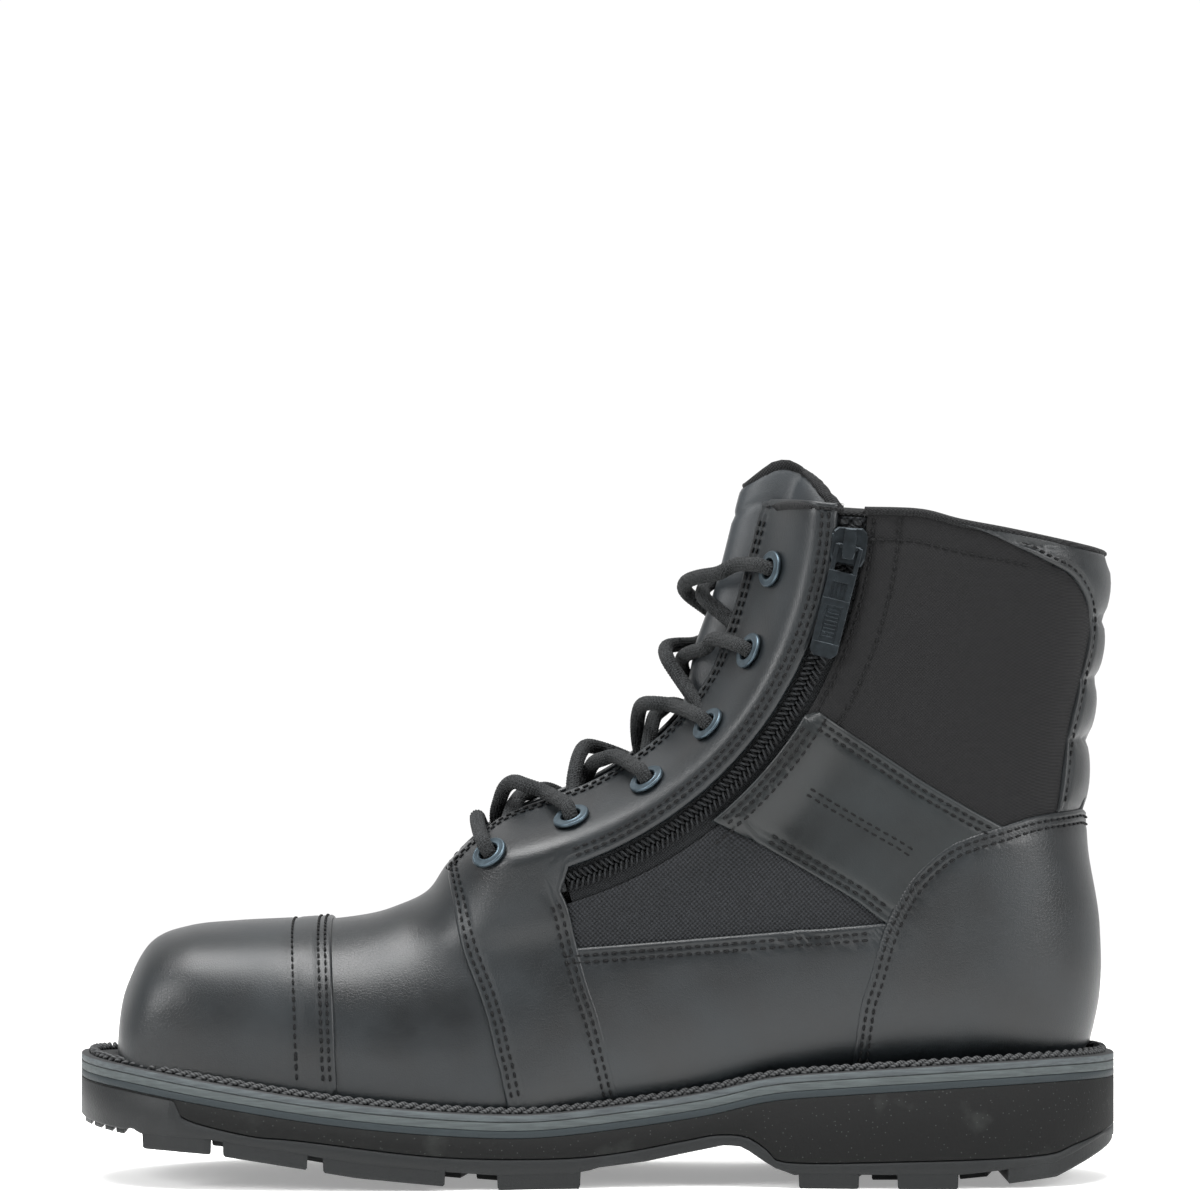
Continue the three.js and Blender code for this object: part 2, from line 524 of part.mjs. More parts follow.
// ---------------------------------------------------------------- lace
// A curve whose steps fall on its own points, close together in the bends.
class RoutedCurve extends THREE.CatmullRomCurve3 {
  getUtoTmapping(u) {
    return u;
  }
}
function tube(points, radius, count) {
  const circle = Array.from({ length: count }, (_, i) => {
    const a = 2 * Math.PI * i / count;
    return new THREE.Vector2(radius * Math.cos(a), radius * Math.sin(a));
  });
  return solidOf(new THREE.ExtrudeGeometry(new THREE.Shape(circle), {
    steps: points.length - 1, extrudePath: new RoutedCurve(points, false, 'centripetal'),
    bevelEnabled: false }));
}

// One half of the lacing, from the middle of the bottom bar to its tucked end. Each
// crossing leaves from under one eyestay and enters the next eyelet from outside.
const ON_LEATHER = LACE_RADIUS + 0.4;
const ON_FLANGE = EYELET.proud + GAP + LACE_RADIUS + 0.35;
const UNDER = -LEATHER - LACE_RADIUS - 1.1;

// A point f of the way from an eyelet to the ridge, moved up by a number of stations.
function nearEyelet(frame, f, h, stations = 0) {
  const turn = frame.turn + f * (Math.PI - frame.turn);
  return new THREE.Vector3(...onLast(frame.s + stations, turn, h));
}
// Round the edge of the leather: a half circle that passes down through the hole.
function throughEyelet(frame) {
  const radius = (ON_FLANGE - UNDER) / 2;
  const centre = (ON_FLANGE + UNDER) / 2;
  const inward = nearEyelet(frame, 0.12, 0).sub(frame.at);
  inward.addScaledVector(frame.normal, -inward.dot(frame.normal)).normalize();
  return [-75, -45, -15, 15, 45, 75].map((angle) => {
    const a = angle * Math.PI / 180;
    return frame.at.clone().addScaledVector(frame.normal, centre - radius * Math.sin(a))
      .addScaledVector(inward, radius * (1 - Math.cos(a)));
  });
}
// Height of a crossing over the tongue, from under one eyestay (u = 1) to over the other.
function crossingHeight(s, u, over) {
  const climb = mix(UNDER, ON_LEATHER + 0.2, smoothstep(0.75, -0.75, u));
  const tongueFace = tongueBulge(s, u * THROAT_TURN) + LACE_RADIUS + 0.6;
  const hump = over ? (2 * LACE_RADIUS + 1.4) * (1 - u * u) : 0;
  return Math.max(climb, tongueFace) + hump;
}
function laceHalf(firstSide, over, radius) {
  const order = [firstSide, firstSide === 'inner' ? 'outer' : 'inner'];
  const sign = (side) => (side === 'inner' ? -1 : 1);
  const bar = frames[firstSide][0];
  const points = [new THREE.Vector3(...onLast(bar.s, Math.PI, ON_LEATHER)),
    nearEyelet(bar, 0.65, ON_LEATHER + 0.2), nearEyelet(bar, 0.4, ON_LEATHER + 0.4)];
  points[0].y += 0.3 * sign(firstSide);
  frames[firstSide].forEach((_, level) => {
    const side = order[level % 2];
    const here = frames[side][level];
    points.push(...throughEyelet(here));
    if (level + 1 === EYELETS.length) {
      points.push(nearEyelet(here, 0.42, UNDER, -0.3), nearEyelet(here, 0.42, UNDER, -0.8));
      return;
    }
    const next = frames[order[(level + 1) % 2]][level + 1];
    for (const t of [0.28, 0.39, 0.5, 0.61, 0.72]) {
      const s = mix(here.s + 0.1, next.s - 0.4, (t - 0.2) / 0.6);
      const turn = mix(here.turn, next.turn, t);
      const u = sign(side) * (turn - Math.PI) / (THROAT_TURN * TONGUE_SPREAD);
      points.push(new THREE.Vector3(...onLast(s, turn, crossingHeight(s, u, over))));
    }
    points.push(nearEyelet(next, 0.4, ON_FLANGE - 0.3, -0.25));
  });
  return tube(points, radius, 6);
}
add('lace_inner_half', laceHalf('inner', false, LACE_RADIUS), M.lace);
add('lace_outer_half', laceHalf('outer', true, LACE_RADIUS), M.lace);
// The lace beds into the leather it is pulled against.
const laceRoom = laceHalf('inner', false, LACE_RADIUS + LACE_BED)
  .add(laceHalf('outer', true, LACE_RADIUS + LACE_BED));

// ---------------------------------------------------------------- side panels
for (const [name, side] of sides) {
  const cut = side < 0 ? nearZip : outerSide;
  const clearOfHeel = outerLayer.subtract(across(heelRoom));
  const layerPart = side < 0
    ? clearOfHeel.subtract(zipWindow).subtract(tapeRoom).subtract(sliderRoom) : clearOfHeel;
  let quarter = largest(layerPart.intersect(cut(eyestay)).subtract(throatCut(0)));
  for (const frame of frames[name]) {
    const hole = new THREE.CylinderGeometry(EYELET.barrel + 0.25, EYELET.barrel + 0.35, 14, 8);
    hole.rotateX(Math.PI / 2);
    const seat = new THREE.CylinderGeometry(EYELET.flange + GAP, EYELET.flange + GAP, 8, 8);
    seat.rotateX(Math.PI / 2);
    seat.translate(0, 0, 4.1);
    quarter = quarter.subtract(placed(hole, frame)).subtract(placed(seat, frame));
  }
  add(`eyestay_quarter_${name}`, largest(quarter.subtract(laceRoom)), M.leather);
  add(`lower_quarter_${name}`, largest(layerPart.intersect(cut(lowerQuarter))), M.leather);
  add(`mesh_panel_${name}`, largest(layerPart.intersect(cut(meshPanel(side)))), M.textile);
  add(`ankle_strap_${name}`, largest(layerPart.intersect(cut(strap(side)))), M.strap);
  add(`collar_panel_${name}`, largest(layerPart.intersect(cut(collarPanel(side)))), M.textile);
  frames[name].forEach((frame, i) => {
    add(`eyelet_${name}_${i + 1}`, largest(placed(ring(eyeletProfile, 8), frame)
      .subtract(laceRoom)), M.eyelet);
  });
}

// ---------------------------------------------------------------- middle and inner layers
const throatWide = across([[-60, 84.5], [-30, 84.5], [-14, 94], [4, 100], [26, 111], [47, 130],
  [60, 155], [66, 182], [68, 240], [-60, 240]]);
const middleLayer = layer(LAYER.middle).subtract(zipPocket).subtract(throatWide);
const innerLayer = layer(LAYER.inner).subtract(zipPocket).subtract(throatWide);
const CAP_BACK = -94;
const FELT_BACK = 66;
const STIFF_TOP = 96;
add('safety_toe_cap', largest(middleLayer.intersect(block(-FAR, CAP_BACK, -90, 90, 0, 120))), M.steel);
add('vamp_interlining', largest(middleLayer.intersect(
  across([[CAP_BACK + SEAM, 0], [FELT_BACK, 0], [FELT_BACK, 84], [-4, 84], [-20, 130],
    [CAP_BACK + SEAM, 130]]))), M.foam);
add('heel_stiffener', largest(middleLayer.intersect(block(FELT_BACK + SEAM, FAR, -90, 90, 0, STIFF_TOP))),
  M.board);
add('collar_foam', largest(middleLayer.intersect(
  across([[-3, 84 + SEAM], [FELT_BACK, 84 + SEAM], [FELT_BACK, STIFF_TOP + SEAM],
    [FAR, STIFF_TOP + SEAM], [FAR, 240], [40, 240]]))), M.foam);
const LINING_SPLIT = 6;
add('vamp_lining', largest(innerLayer.intersect(block(-FAR, LINING_SPLIT, -90, 90, 0, 130))), M.lining);
add('quarter_lining', largest(innerLayer.intersect(block(LINING_SPLIT + SEAM, FAR, -90, 90, 0, 240))),
  M.lining);

// ---------------------------------------------------------------- tongue
function tongueSheet(lift, from = TONGUE_FROM, to = TONGUE_TO, rows = 13, columns = 12) {
  const rings = [];
  for (let i = 0; i <= rows; i++) {
    const s = mix(from, to, i / rows);
    const faces = lift.map((depth) => Array.from({ length: columns + 1 }, (_, j) => {
      const u = mix(-1, 1, j / columns);
      return onLast(s, Math.PI + u * TONGUE_SPREAD, tongueBulge(s, u) - depth, false);
    }));
    rings.push([...faces[0], ...faces[1].reverse()]);
  }
  return loft(rings);
}
const tongueTrim = across([...TONGUE_TOP, [90, 60], [-90, 60], [-90, 150]]);
// Under the eyestays the tongue stays clear of the lace; at its root, of the vamp lining.
const tongueRoom = lastSolid(-TONGUE_SINK + GAP).add(throatCut(SEAM * 2)).intersect(tongueTrim)
  .subtract(across([[-90, 40], [-20, 40], [-34, 100], [-90, 100]]).subtract(lastSolid(INSIDE)));
const tongueBody = tongueSheet([0, TONGUE_THICK])
  .subtract(tongueSheet([TONGUE_THICK + GAP / 2, TONGUE_THICK + GAP + LINING + 2]));
add('tongue', largest(tongueBody.intersect(tongueRoom).subtract(laceRoom)), M.leather);
add('tongue_lining', largest(tongueSheet([TONGUE_THICK + GAP, TONGUE_THICK + GAP + LINING])
  .intersect(tongueRoom).subtract(laceRoom)), M.lining);

// ---------------------------------------------------------------- sole
const loopOf = (points, count) => new THREE.CatmullRomCurve3(
  points.map(([a, b]) => new THREE.Vector3(a, b, 0)), true, 'centripetal')
  .getPoints(count).slice(0, count).map((p) => [p.x, p.y]);
const soleEdge = loopOf(SOLE_EDGE, 40);

// The sole edge moved inwards.
function inset(distance, points = soleEdge) {
  return points.map(([x, y], i) => {
    const before = points[(i + points.length - 1) % points.length];
    const after = points[(i + 1) % points.length];
    const dx = after[0] - before[0];
    const dy = after[1] - before[1];
    const long = Math.hypot(dx, dy);
    return [x - dy / long * distance, y + dx / long * distance];
  });
}
function between(top, bottom) {
  return [...bottom, ...[...top].reverse()];
}
const lowered = (line, by) => line.map(([x, z]) => [x, z - by]);
const rubberTop = evenly(RUBBER_TOP, 20);
const boardTop = WELT_THICK + GAP;
const slipTop = boardTop + BOARD_THICK + GAP;
const evaTop = slipTop + SLIP_THICK + GAP;
const solePlan = upright(soleEdge);

const weltRing = across(between(welt, lowered(welt, WELT_THICK))).intersect(solePlan)
  .subtract(upright(inset(WELT_WIDTH)));
add('welt', weltRing, M.board);
add('bottom_filler', across(between(lowered(welt, 0.2), lowered(welt, WELT_THICK)))
  .intersect(upright(inset(WELT_WIDTH + GAP)))
  .subtract(block(SHANK.from - GAP, SHANK.to + GAP, -SHANK.width / 2 - GAP - 3,
    SHANK.width / 2 + GAP - 3, 0, 60)), M.board);
const shankLine = welt.filter(([x]) => x > SHANK.from && x < SHANK.to);
add('shank', across(between(lowered(shankLine, 0.4), lowered(shankLine, 0.4 + SHANK.thick)),
  -SHANK.width / 2 - 3, SHANK.width / 2 - 3), M.steel);
add('leatherboard_midsole', across(between(lowered(welt, boardTop),
  lowered(welt, boardTop + BOARD_THICK))).intersect(solePlan), M.board);
add('slip_sole', across(between(lowered(welt, slipTop), lowered(welt, slipTop + SLIP_THICK)))
  .intersect(solePlan), M.rubber);

// The wedge fills the space between the slip sole and the outsole. Forward of its tip the
// outsole rises to the slip sole as a toe bumper.
const WEDGE_TIP = -123.6;
const stretch = (line, from, to) => [[from, heightAt(line, from)],
  ...line.filter(([x]) => x > from + 0.2 && x < to - 0.2), [to, heightAt(line, to)]];
const wedgeTop = stretch(lowered(welt, evaTop), WEDGE_TIP + 1, 159);
const wedgeUnder = stretch(rubberTop, WEDGE_TIP + 1, 159);
add('midsole_wedge', largest(across(between(wedgeTop, wedgeUnder.map(([x, z]) => [x, z + GAP])))
  .intersect(solePlan)), M.eva);
const outsoleTop = [...stretch(lowered(welt, evaTop), -159, WEDGE_TIP),
  ...stretch(rubberTop, WEDGE_TIP + 0.6, 159)];
let outsole = across(between(outsoleTop, TREAD.map(([x, z]) =>
  [Math.abs(x) > 154 ? x * 1.05 : x, z]))).intersect(solePlan);
const coreSolid = upright(inset(CHANNEL_REACH));
for (const { x, width, depth } of TREAD_CHANNELS) {
  const floor = Math.max(heightAt(TREAD, x), 0) + depth;
  outsole = outsole.subtract(block(x - width / 2, x + width / 2, -90, 90, -10, floor)
    .subtract(coreSolid));
}
// Cross bars between the lugs of the middle field.
const bar = (x, halfWidth, depth) => block(x - halfWidth, x + halfWidth, -90, 90, -10,
  heightAt(TREAD, x) + depth);
for (const x of [-121, -100, -72, -50, -17, 70, 97, 124]) {
  outsole = outsole.subtract(bar(x, 2.2, 2.6).intersect(upright(inset(CHANNEL_REACH + 4))));
}
add('outsole', largest(outsole), M.rubber);

const insoleSpace = lastSolid(INSIDE);
const insoleTop = GAP + INSOLE_THICK;
add('insole_board', largest(across(between(welt.map(([x, z]) => [x, z + insoleTop]),
  welt.map(([x, z]) => [x, z + GAP]))).intersect(insoleSpace)), M.board);
add('footbed', largest(across(between(welt.map(([x, z]) => [x, z + insoleTop + GAP + FOOTBED_THICK]),
  welt.map(([x, z]) => [x, z + insoleTop + GAP]))).intersect(lastSolid(INSIDE - 0.2))), M.lining);

// The welt stitch lies on the ledge round the whole sole.
const threadPlan = inset(WELT_THREAD_INSET);
const threadPoints = threadPlan.filter((_, i) => i % 2 === 0).map(([x, y]) =>
  new THREE.Vector3(x, y, heightAt(welt, x) + WELT_THREAD + GAP + 0.6));
const threadCurve = new THREE.CatmullRomCurve3(threadPoints, true, 'centripetal');
const threadRings = [];
const THREAD_STEPS = 40;
for (let i = 0; i < THREAD_STEPS; i++) {
  const p = threadCurve.getPointAt(i / THREAD_STEPS);
  const t = threadCurve.getTangentAt(i / THREAD_STEPS);
  const across3 = new THREE.Vector3(t.y, -t.x, 0).normalize();
  threadRings.push(Array.from({ length: 4 }, (_, k) => {
    const a = 2 * Math.PI * k / 4;
    return p.clone().addScaledVector(across3, WELT_THREAD * Math.cos(a))
      .add(new THREE.Vector3(0, 0, WELT_THREAD * Math.sin(a))).toArray();
  }));
}
function closedLoop(rings) {
  const count = rings[0].length;
  const index = [];
  rings.forEach((_, i) => {
    const next = (i + 1) % rings.length;
    for (let j = 0; j < count; j++) {
      const k = (j + 1) % count;
      const [a, b, c, d] = [i * count + j, next * count + j, i * count + k, next * count + k];
      index.push(a, b, c, c, b, d);
    }
  });
  const geometry = new THREE.BufferGeometry();
  geometry.setAttribute('position', new THREE.BufferAttribute(new Float32Array(rings.flat(2)), 3));
  geometry.setIndex(index);
  const solid = solidOf(geometry);
  return solid.volume() > 0 ? solid : solidOf(flipped(geometry));
}
add('welt_stitch', closedLoop(threadRings), M.thread);

export default boot;
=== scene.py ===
import math

import bpy
import numpy as np
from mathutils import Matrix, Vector, geometry


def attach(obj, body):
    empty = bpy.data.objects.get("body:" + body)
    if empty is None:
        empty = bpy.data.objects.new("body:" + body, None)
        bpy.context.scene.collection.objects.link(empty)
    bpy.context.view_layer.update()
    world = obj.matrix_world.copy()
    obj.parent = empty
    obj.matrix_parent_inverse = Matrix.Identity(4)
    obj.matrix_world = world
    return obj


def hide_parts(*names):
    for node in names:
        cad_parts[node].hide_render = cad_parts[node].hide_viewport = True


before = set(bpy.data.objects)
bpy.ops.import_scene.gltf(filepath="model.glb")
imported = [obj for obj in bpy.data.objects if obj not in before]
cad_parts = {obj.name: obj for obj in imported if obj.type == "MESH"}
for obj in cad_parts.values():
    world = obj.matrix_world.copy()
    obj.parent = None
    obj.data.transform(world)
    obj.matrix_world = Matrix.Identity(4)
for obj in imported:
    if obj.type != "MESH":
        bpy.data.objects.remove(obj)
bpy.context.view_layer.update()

# ---------------------------------------------------------------- camera, floor and light
# A product table: a level long-lens camera on the zip side, a pale floor, and large soft
# lamps. The lens axis is above the shaft, so the welt is seen a little from above.
camera = bpy.data.objects.new("camera", bpy.data.cameras.new("camera"))
camera.data.lens = 180
camera.data.sensor_width = 36
camera.location = (0.0006, -1.8, 0.1724)
camera.rotation_euler = (math.radians(90), 0, 0)
bpy.context.collection.objects.link(camera)
bpy.context.scene.camera = camera


def node(tree, kind, links=None, **settings):
    """Adds a node, sets its properties or sockets by name, and links its inputs."""
    made = tree.nodes.new(kind)
    for key, value in settings.items():
        if hasattr(made, key):
            setattr(made, key, value)
        else:
            made.inputs[key.replace("_", " ")].default_value = value
    for key, source in (links or {}).items():
        target = made.inputs[key] if isinstance(key, int) else made.inputs[key.replace("_", " ")]
        tree.links.new(source, target)
    return made


def linear(hex_colour):
    """An sRGB hex colour as linear RGBA."""
    values = [int(hex_colour[i:i + 2], 16) / 255 for i in (0, 2, 4)]
    return [v / 12.92 if v <= 0.04045 else ((v + 0.055) / 1.055) ** 2.4 for v in values] + [1.0]


def blank_material(name):
    made = bpy.data.materials.new(name)
    made.use_nodes = True
    made.node_tree.nodes.clear()
    return made, made.node_tree


def shaded(made, links=None, **settings):
    """Ends a material in one shader and returns it."""
    tree = made.node_tree
    shader = node(tree, "ShaderNodeBsdfPrincipled", links, **settings)
    node(tree, "ShaderNodeOutputMaterial", {0: shader.outputs[0]})
    return made


def mesh_object(name, vertices, faces, material, smooth=True):
    """A mesh from millimetres, with the given material."""
    mesh = bpy.data.meshes.new(name)
    mesh.from_pydata([tuple(v) for v in np.asarray(vertices, float) * 0.001], [],
                     [tuple(int(i) for i in f) for f in faces])
    mesh.validate()
    mesh.polygons.foreach_set("use_smooth", [smooth] * len(mesh.polygons))
    mesh.materials.append(material)
    made = bpy.data.objects.new(name, mesh)
    bpy.context.collection.objects.link(made)
    return made


white_paper, _ = blank_material("matt_white_paper")
shaded(white_paper, Base_Color=linear("f2f2f1"), Roughness=0.9, Emission_Color=linear("ffffff"),
       Emission_Strength=0.3)
FLOOR_HALF = 1000
corners = np.array([(-1, -1, 0), (1, -1, 0), (1, 1, 0), (-1, 1, 0)]) * FLOOR_HALF
floor = mesh_object("floor", corners, [(0, 1, 2, 3)], white_paper, smooth=False)

world = bpy.data.worlds.new("white_surround")
world.use_nodes = True
sky = world.node_tree
way = node(sky, "ShaderNodeTexCoord")
split = node(sky, "ShaderNodeSeparateXYZ", {0: way.outputs["Generated"]})
behind = node(sky, "ShaderNodeMapRange", {"Value": split.outputs[1]}, From_Min=-0.2, From_Max=0.55,
              To_Min=0.45, To_Max=1.03)
seen = node(sky, "ShaderNodeLightPath")
strength = node(sky, "ShaderNodeMath", {0: behind.outputs[0], 1: seen.outputs["Is Camera Ray"]},
                operation="MAXIMUM")
sky.links.new(strength.outputs[0], sky.nodes["Background"].inputs[1])
sky.nodes["Background"].inputs[0].default_value = linear("ffffff")
bpy.context.scene.world = world
bpy.context.scene.view_settings.view_transform = "Standard"


def softbox(name, place, aim, size, watts):
    lamp = bpy.data.objects.new(name, bpy.data.lights.new(name, "AREA"))
    lamp.data.shape = "RECTANGLE"
    lamp.data.size, lamp.data.size_y = size
    lamp.data.energy = watts
    lamp.location = place
    lamp.rotation_euler = (Vector(aim) - Vector(place)).to_track_quat("-Z", "Y").to_euler()
    bpy.context.collection.objects.link(lamp)


softbox("top_softbox", (-0.1, -0.25, 1.2), (0, 0, 0.05), (1.0, 0.7), 30)
softbox("toe_softbox", (-1.1, -0.9, 0.75), (-0.02, 0, 0.08), (0.5, 0.6), 16)
softbox("heel_softbox", (1.1, -0.7, 0.6), (0.05, 0, 0.1), (0.35, 0.7), 12)

# ---------------------------------------------------------------- the last
# The wooden or plastic foot form that the upper is pulled over. It is not a piece of the
# boot: every panel of the upper takes its shape from it, so it is set out first.
# Ridge x z, base x z, half widths on the zip side and outer side, where the section is
# widest, its squareness at base and ridge, and the ridge's and base's offset along Y.
SECTIONS = np.array([
    [-141.6, 42.0, -141.6, 34.0, 12.0, -4.0, 0.50, 2.0, 2.0, -8, -8],
    [-141.2, 50.0, -141.0, 29.5, 26.0, 10.0, 0.45, 2.5, 2.2, -8, -8],
    [-139.0, 58.5, -138.6, 27.5, 35.5, 20.5, 0.40, 3.5, 2.4, -8, -8],
    [-132.5, 70.0, -132.0, 26.0, 41.5, 29.0, 0.38, 5.0, 2.6, -7, -7],
    [-122.0, 74.3, -120.0, 24.0, 44.5, 36.0, 0.38, 5.5, 2.7, -7, -6],
    [-108.0, 75.7, -105.0, 20.0, 46.0, 41.0, 0.37, 6.0, 2.6, -6, -5],
    [-88.0, 76.8, -84.0, 16.5, 47.0, 44.5, 0.34, 6.0, 2.4, -6, -3],
    [-68.0, 79.3, -60.0, 14.5, 46.6, 46.3, 0.32, 6.0, 2.2, -5, -2],
    [-52.5, 85.1, -36.0, 13.5, 45.3, 45.4, 0.32, 5.0, 2.1, -5, -2],
    [-44.5, 95.0, -18.0, 13.5, 43.8, 43.6, 0.33, 4.0, 2.0, -4, -2],
    [-30.0, 108.8, 4.0, 15.0, 42.5, 41.5, 0.36, 3.2, 2.0, -4, -2],
    [-14.5, 116.5, 30.0, 18.5, 41.8, 39.5, 0.40, 3.0, 2.0, -3, -3],
    [-2.0, 122.5, 60.0, 24.0, 41.4, 38.7, 0.43, 2.9, 2.0, -3, -4],
    [8.0, 129.0, 92.0, 27.0, 41.3, 38.3, 0.46, 2.8, 2.0, -2, -5],
    [17.0, 136.5, 120.0, 28.5, 41.3, 38.0, 0.48, 2.7, 2.0, -2, -6],
    [24.0, 145.0, 140.0, 31.0, 41.3, 38.0, 0.50, 2.5, 2.0, -2, -6],
    [30.0, 154.0, 148.0, 50.0, 41.3, 38.0, 0.50, 2.3, 2.0, -2, -6],
    [34.0, 164.0, 149.0, 75.0, 41.3, 38.0, 0.50, 2.2, 2.0, -2, -5],
    [37.5, 174.0, 145.5, 100.0, 41.2, 38.0, 0.50, 2.2, 2.0, -2, -4],
    [40.5, 185.0, 145.5, 125.0, 41.0, 38.0, 0.50, 2.2, 2.0, -2, -3],
    [43.5, 197.0, 148.5, 150.0, 41.0, 38.0, 0.50, 2.2, 2.0, -2, -3],
    [46.5, 208.0, 151.5, 175.0, 41.0, 38.0, 0.50, 2.2, 2.0, -2, -3],
    [51.0, 221.0, 151.5, 207.0, 41.0, 38.0, 0.50, 2.2, 2.0, -2, -3]])
ZIP_X, ZIP_Z, ZIP_RADIUS, ZIP_PLANE = -44.0, 202.9, 118.5, -41.0
TIP_SCALE = 0.45                 # turns stations into the log radius of the flat pattern


def column(k, s):
    """Column k of SECTIONS at fractional station s, on a Catmull-Rom curve."""
    last = len(SECTIONS) - 1
    i = np.clip(np.floor(s).astype(int), 0, last - 1)
    t = s - i
    p0, p1, p2, p3 = (SECTIONS[np.clip(i + n, 0, last), k] for n in (-1, 0, 1, 2))
    return p1 + 0.5 * t * (p2 - p0 + t * (2 * p0 - 5 * p1 + 4 * p2 - p3 + t * (3 * (p1 - p2) + p3 - p0)))


def smoothstep(a, b, x):
    t = np.clip((x - a) / (b - a), 0, 1)
    return t * t * (3 - 2 * t)


def edge_line(k, s, h, turn):
    step = 0.02
    dx = column(k, s + step) - column(k, s - step)
    dz = column(k + 1, s + step) - column(k + 1, s - step)
    length = np.hypot(dx, dz) + 1e-9
    return column(k, s) - turn * dz / length * h, column(k + 1, s) + turn * dx / length * h


def on_last(s, angle, h=0.0, flatten=True):
    """Points at stations s, angles round the section and heights h above the leather."""
    s, angle, h = np.broadcast_arrays(np.asarray(s, float), np.asarray(angle, float), np.asarray(h, float))
    shrink = np.exp(TIP_SCALE * np.minimum(s, 0))
    s = np.clip(s, 0, len(SECTIONS) - 1.0001)
    ridge_x, ridge_z = edge_line(0, s, h, 1)
    base_x, base_z = edge_line(2, s, h, -1)
    zip_side, outer, peak, n_base, n_ridge, y_ridge, y_base = (column(k, s) for k in range(4, 11))
    angle = np.mod(angle, 2 * np.pi)
    inner = angle <= np.pi
    turn = np.where(inner, angle, 2 * np.pi - angle)
    low = turn < np.pi / 2
    power = np.where(low, n_base, n_ridge)
    along = np.abs(np.cos(turn)) ** (2 / power)
    t = np.where(low, peak * (1 - along), peak + (1 - peak) * along)
    middle = y_base + (y_ridge - y_base) * t
    widest = y_base + (y_ridge - y_base) * peak
    half = np.maximum(0.4, np.where(inner, zip_side + widest, outer - widest) + h)
    x = base_x + (ridge_x - base_x) * t
    z = base_z + (ridge_z - base_z) * t
    y = middle + np.where(inner, -1, 1) * half * np.abs(np.sin(turn)) ** (2 / power)
    if flatten:
        off = np.abs(np.hypot(x - ZIP_X, z - ZIP_Z) - ZIP_RADIUS)
        below = np.degrees(np.arctan2(ZIP_Z - z, x - ZIP_X))
        flat = smoothstep(24, 8.5, off) * smoothstep(-20, -4, below) * smoothstep(96, 79, below)
        y = np.where(inner, y + (ZIP_PLANE - h - y) * flat, y)
    centre = np.stack([np.full_like(x, -141.7), np.full_like(x, -8.0), np.full_like(x, 38.0)], -1)
    return centre + (np.stack([x, y, z], -1) - centre) * shrink[..., None]


def locate(points):
    """Stations and turns (0 at the base, pi at the ridge) of side-view points (x, z)."""
    points = np.asarray(points, float)
    s_grid, t_grid = np.meshgrid(np.linspace(0.02, 21.9, 440), np.linspace(0.0, 1.0, 81), indexing="ij")

    def side_view(s, t):
        bx, bz, fx, fz = column(2, s), column(3, s), column(0, s), column(1, s)
        return np.stack([bx + (fx - bx) * t, bz + (fz - bz) * t], -1)
    grid = side_view(s_grid.ravel(), t_grid.ravel())
    best = np.array([np.argmin(((grid - p) ** 2).sum(1)) for p in points])
    s, t = s_grid.ravel()[best], t_grid.ravel()[best]
    for _ in range(8):
        here = side_view(s, t)
        ds = (side_view(s + 0.01, t) - side_view(s - 0.01, t)) / 0.02
        dt = (side_view(s, t + 0.01) - side_view(s, t - 0.01)) / 0.02
        miss = points - here
        det = ds[:, 0] * dt[:, 1] - ds[:, 1] * dt[:, 0]
        det = np.where(np.abs(det) < 1e-6, 1e-6, det)
        s = np.clip(s + np.clip((miss[:, 0] * dt[:, 1] - miss[:, 1] * dt[:, 0]) / det, -0.4, 0.4), 0.0, 21.95)
        t = np.clip(t + np.clip((ds[:, 0] * miss[:, 1] - ds[:, 1] * miss[:, 0]) / det, -0.1, 0.1), 0.0, 1.0)
    peak, n_base, n_ridge = column(6, s), column(7, s), column(8, s)
    low = t < peak
    along = np.clip(np.where(low, 1 - t / peak, (t - peak) / (1 - peak)), 0, 1)
    bend = np.arccos(np.clip(along ** (np.where(low, n_base, n_ridge) / 2), 0, 1))
    return s, np.where(low, bend, np.pi - bend)


def smooth_line(points, count=8, closed=False):
    """A Catmull-Rom curve through points of any dimension, count steps to each span."""
    p = np.asarray(points, float)
    n = len(p)
    out = []
    spans = n if closed else n - 1
    for i in range(spans):
        a, b, c, d = (p[(i + k) % n] if closed else p[min(max(i + k, 0), n - 1)] for k in (-1, 0, 1, 2))
        for t in np.arange(count) / count:
            out.append(b + 0.5 * t * (c - a + t * (2 * a - 5 * b + 4 * c - d + t * (3 * (b - c) + d - a))))
    if not closed:
        out.append(p[-1])
    return np.array(out)


WELT_TOP = [(-160, 38.4), (-140, 36.2), (-110, 31.2), (-78, 26.3), (-46, 23.1), (-20, 22), (5, 24.2),
            (31, 28), (50, 32.3), (70, 34.2), (110, 36.8), (140, 38), (160, 37.4)]
welt_line = smooth_line(WELT_TOP, 10)


def welt_height(x):
    return np.interp(x, welt_line[:, 0], welt_line[:, 1])


def side_path(points, side, smooth=True):
    """A side-view line on one side of the last, as stations and angles. side -1 is the zip side."""
    line = smooth_line(points, 6) if smooth else np.asarray(points, float)
    s, turn = locate(line)
    return np.stack([s, turn if side < 0 else 2 * np.pi - turn], 1)


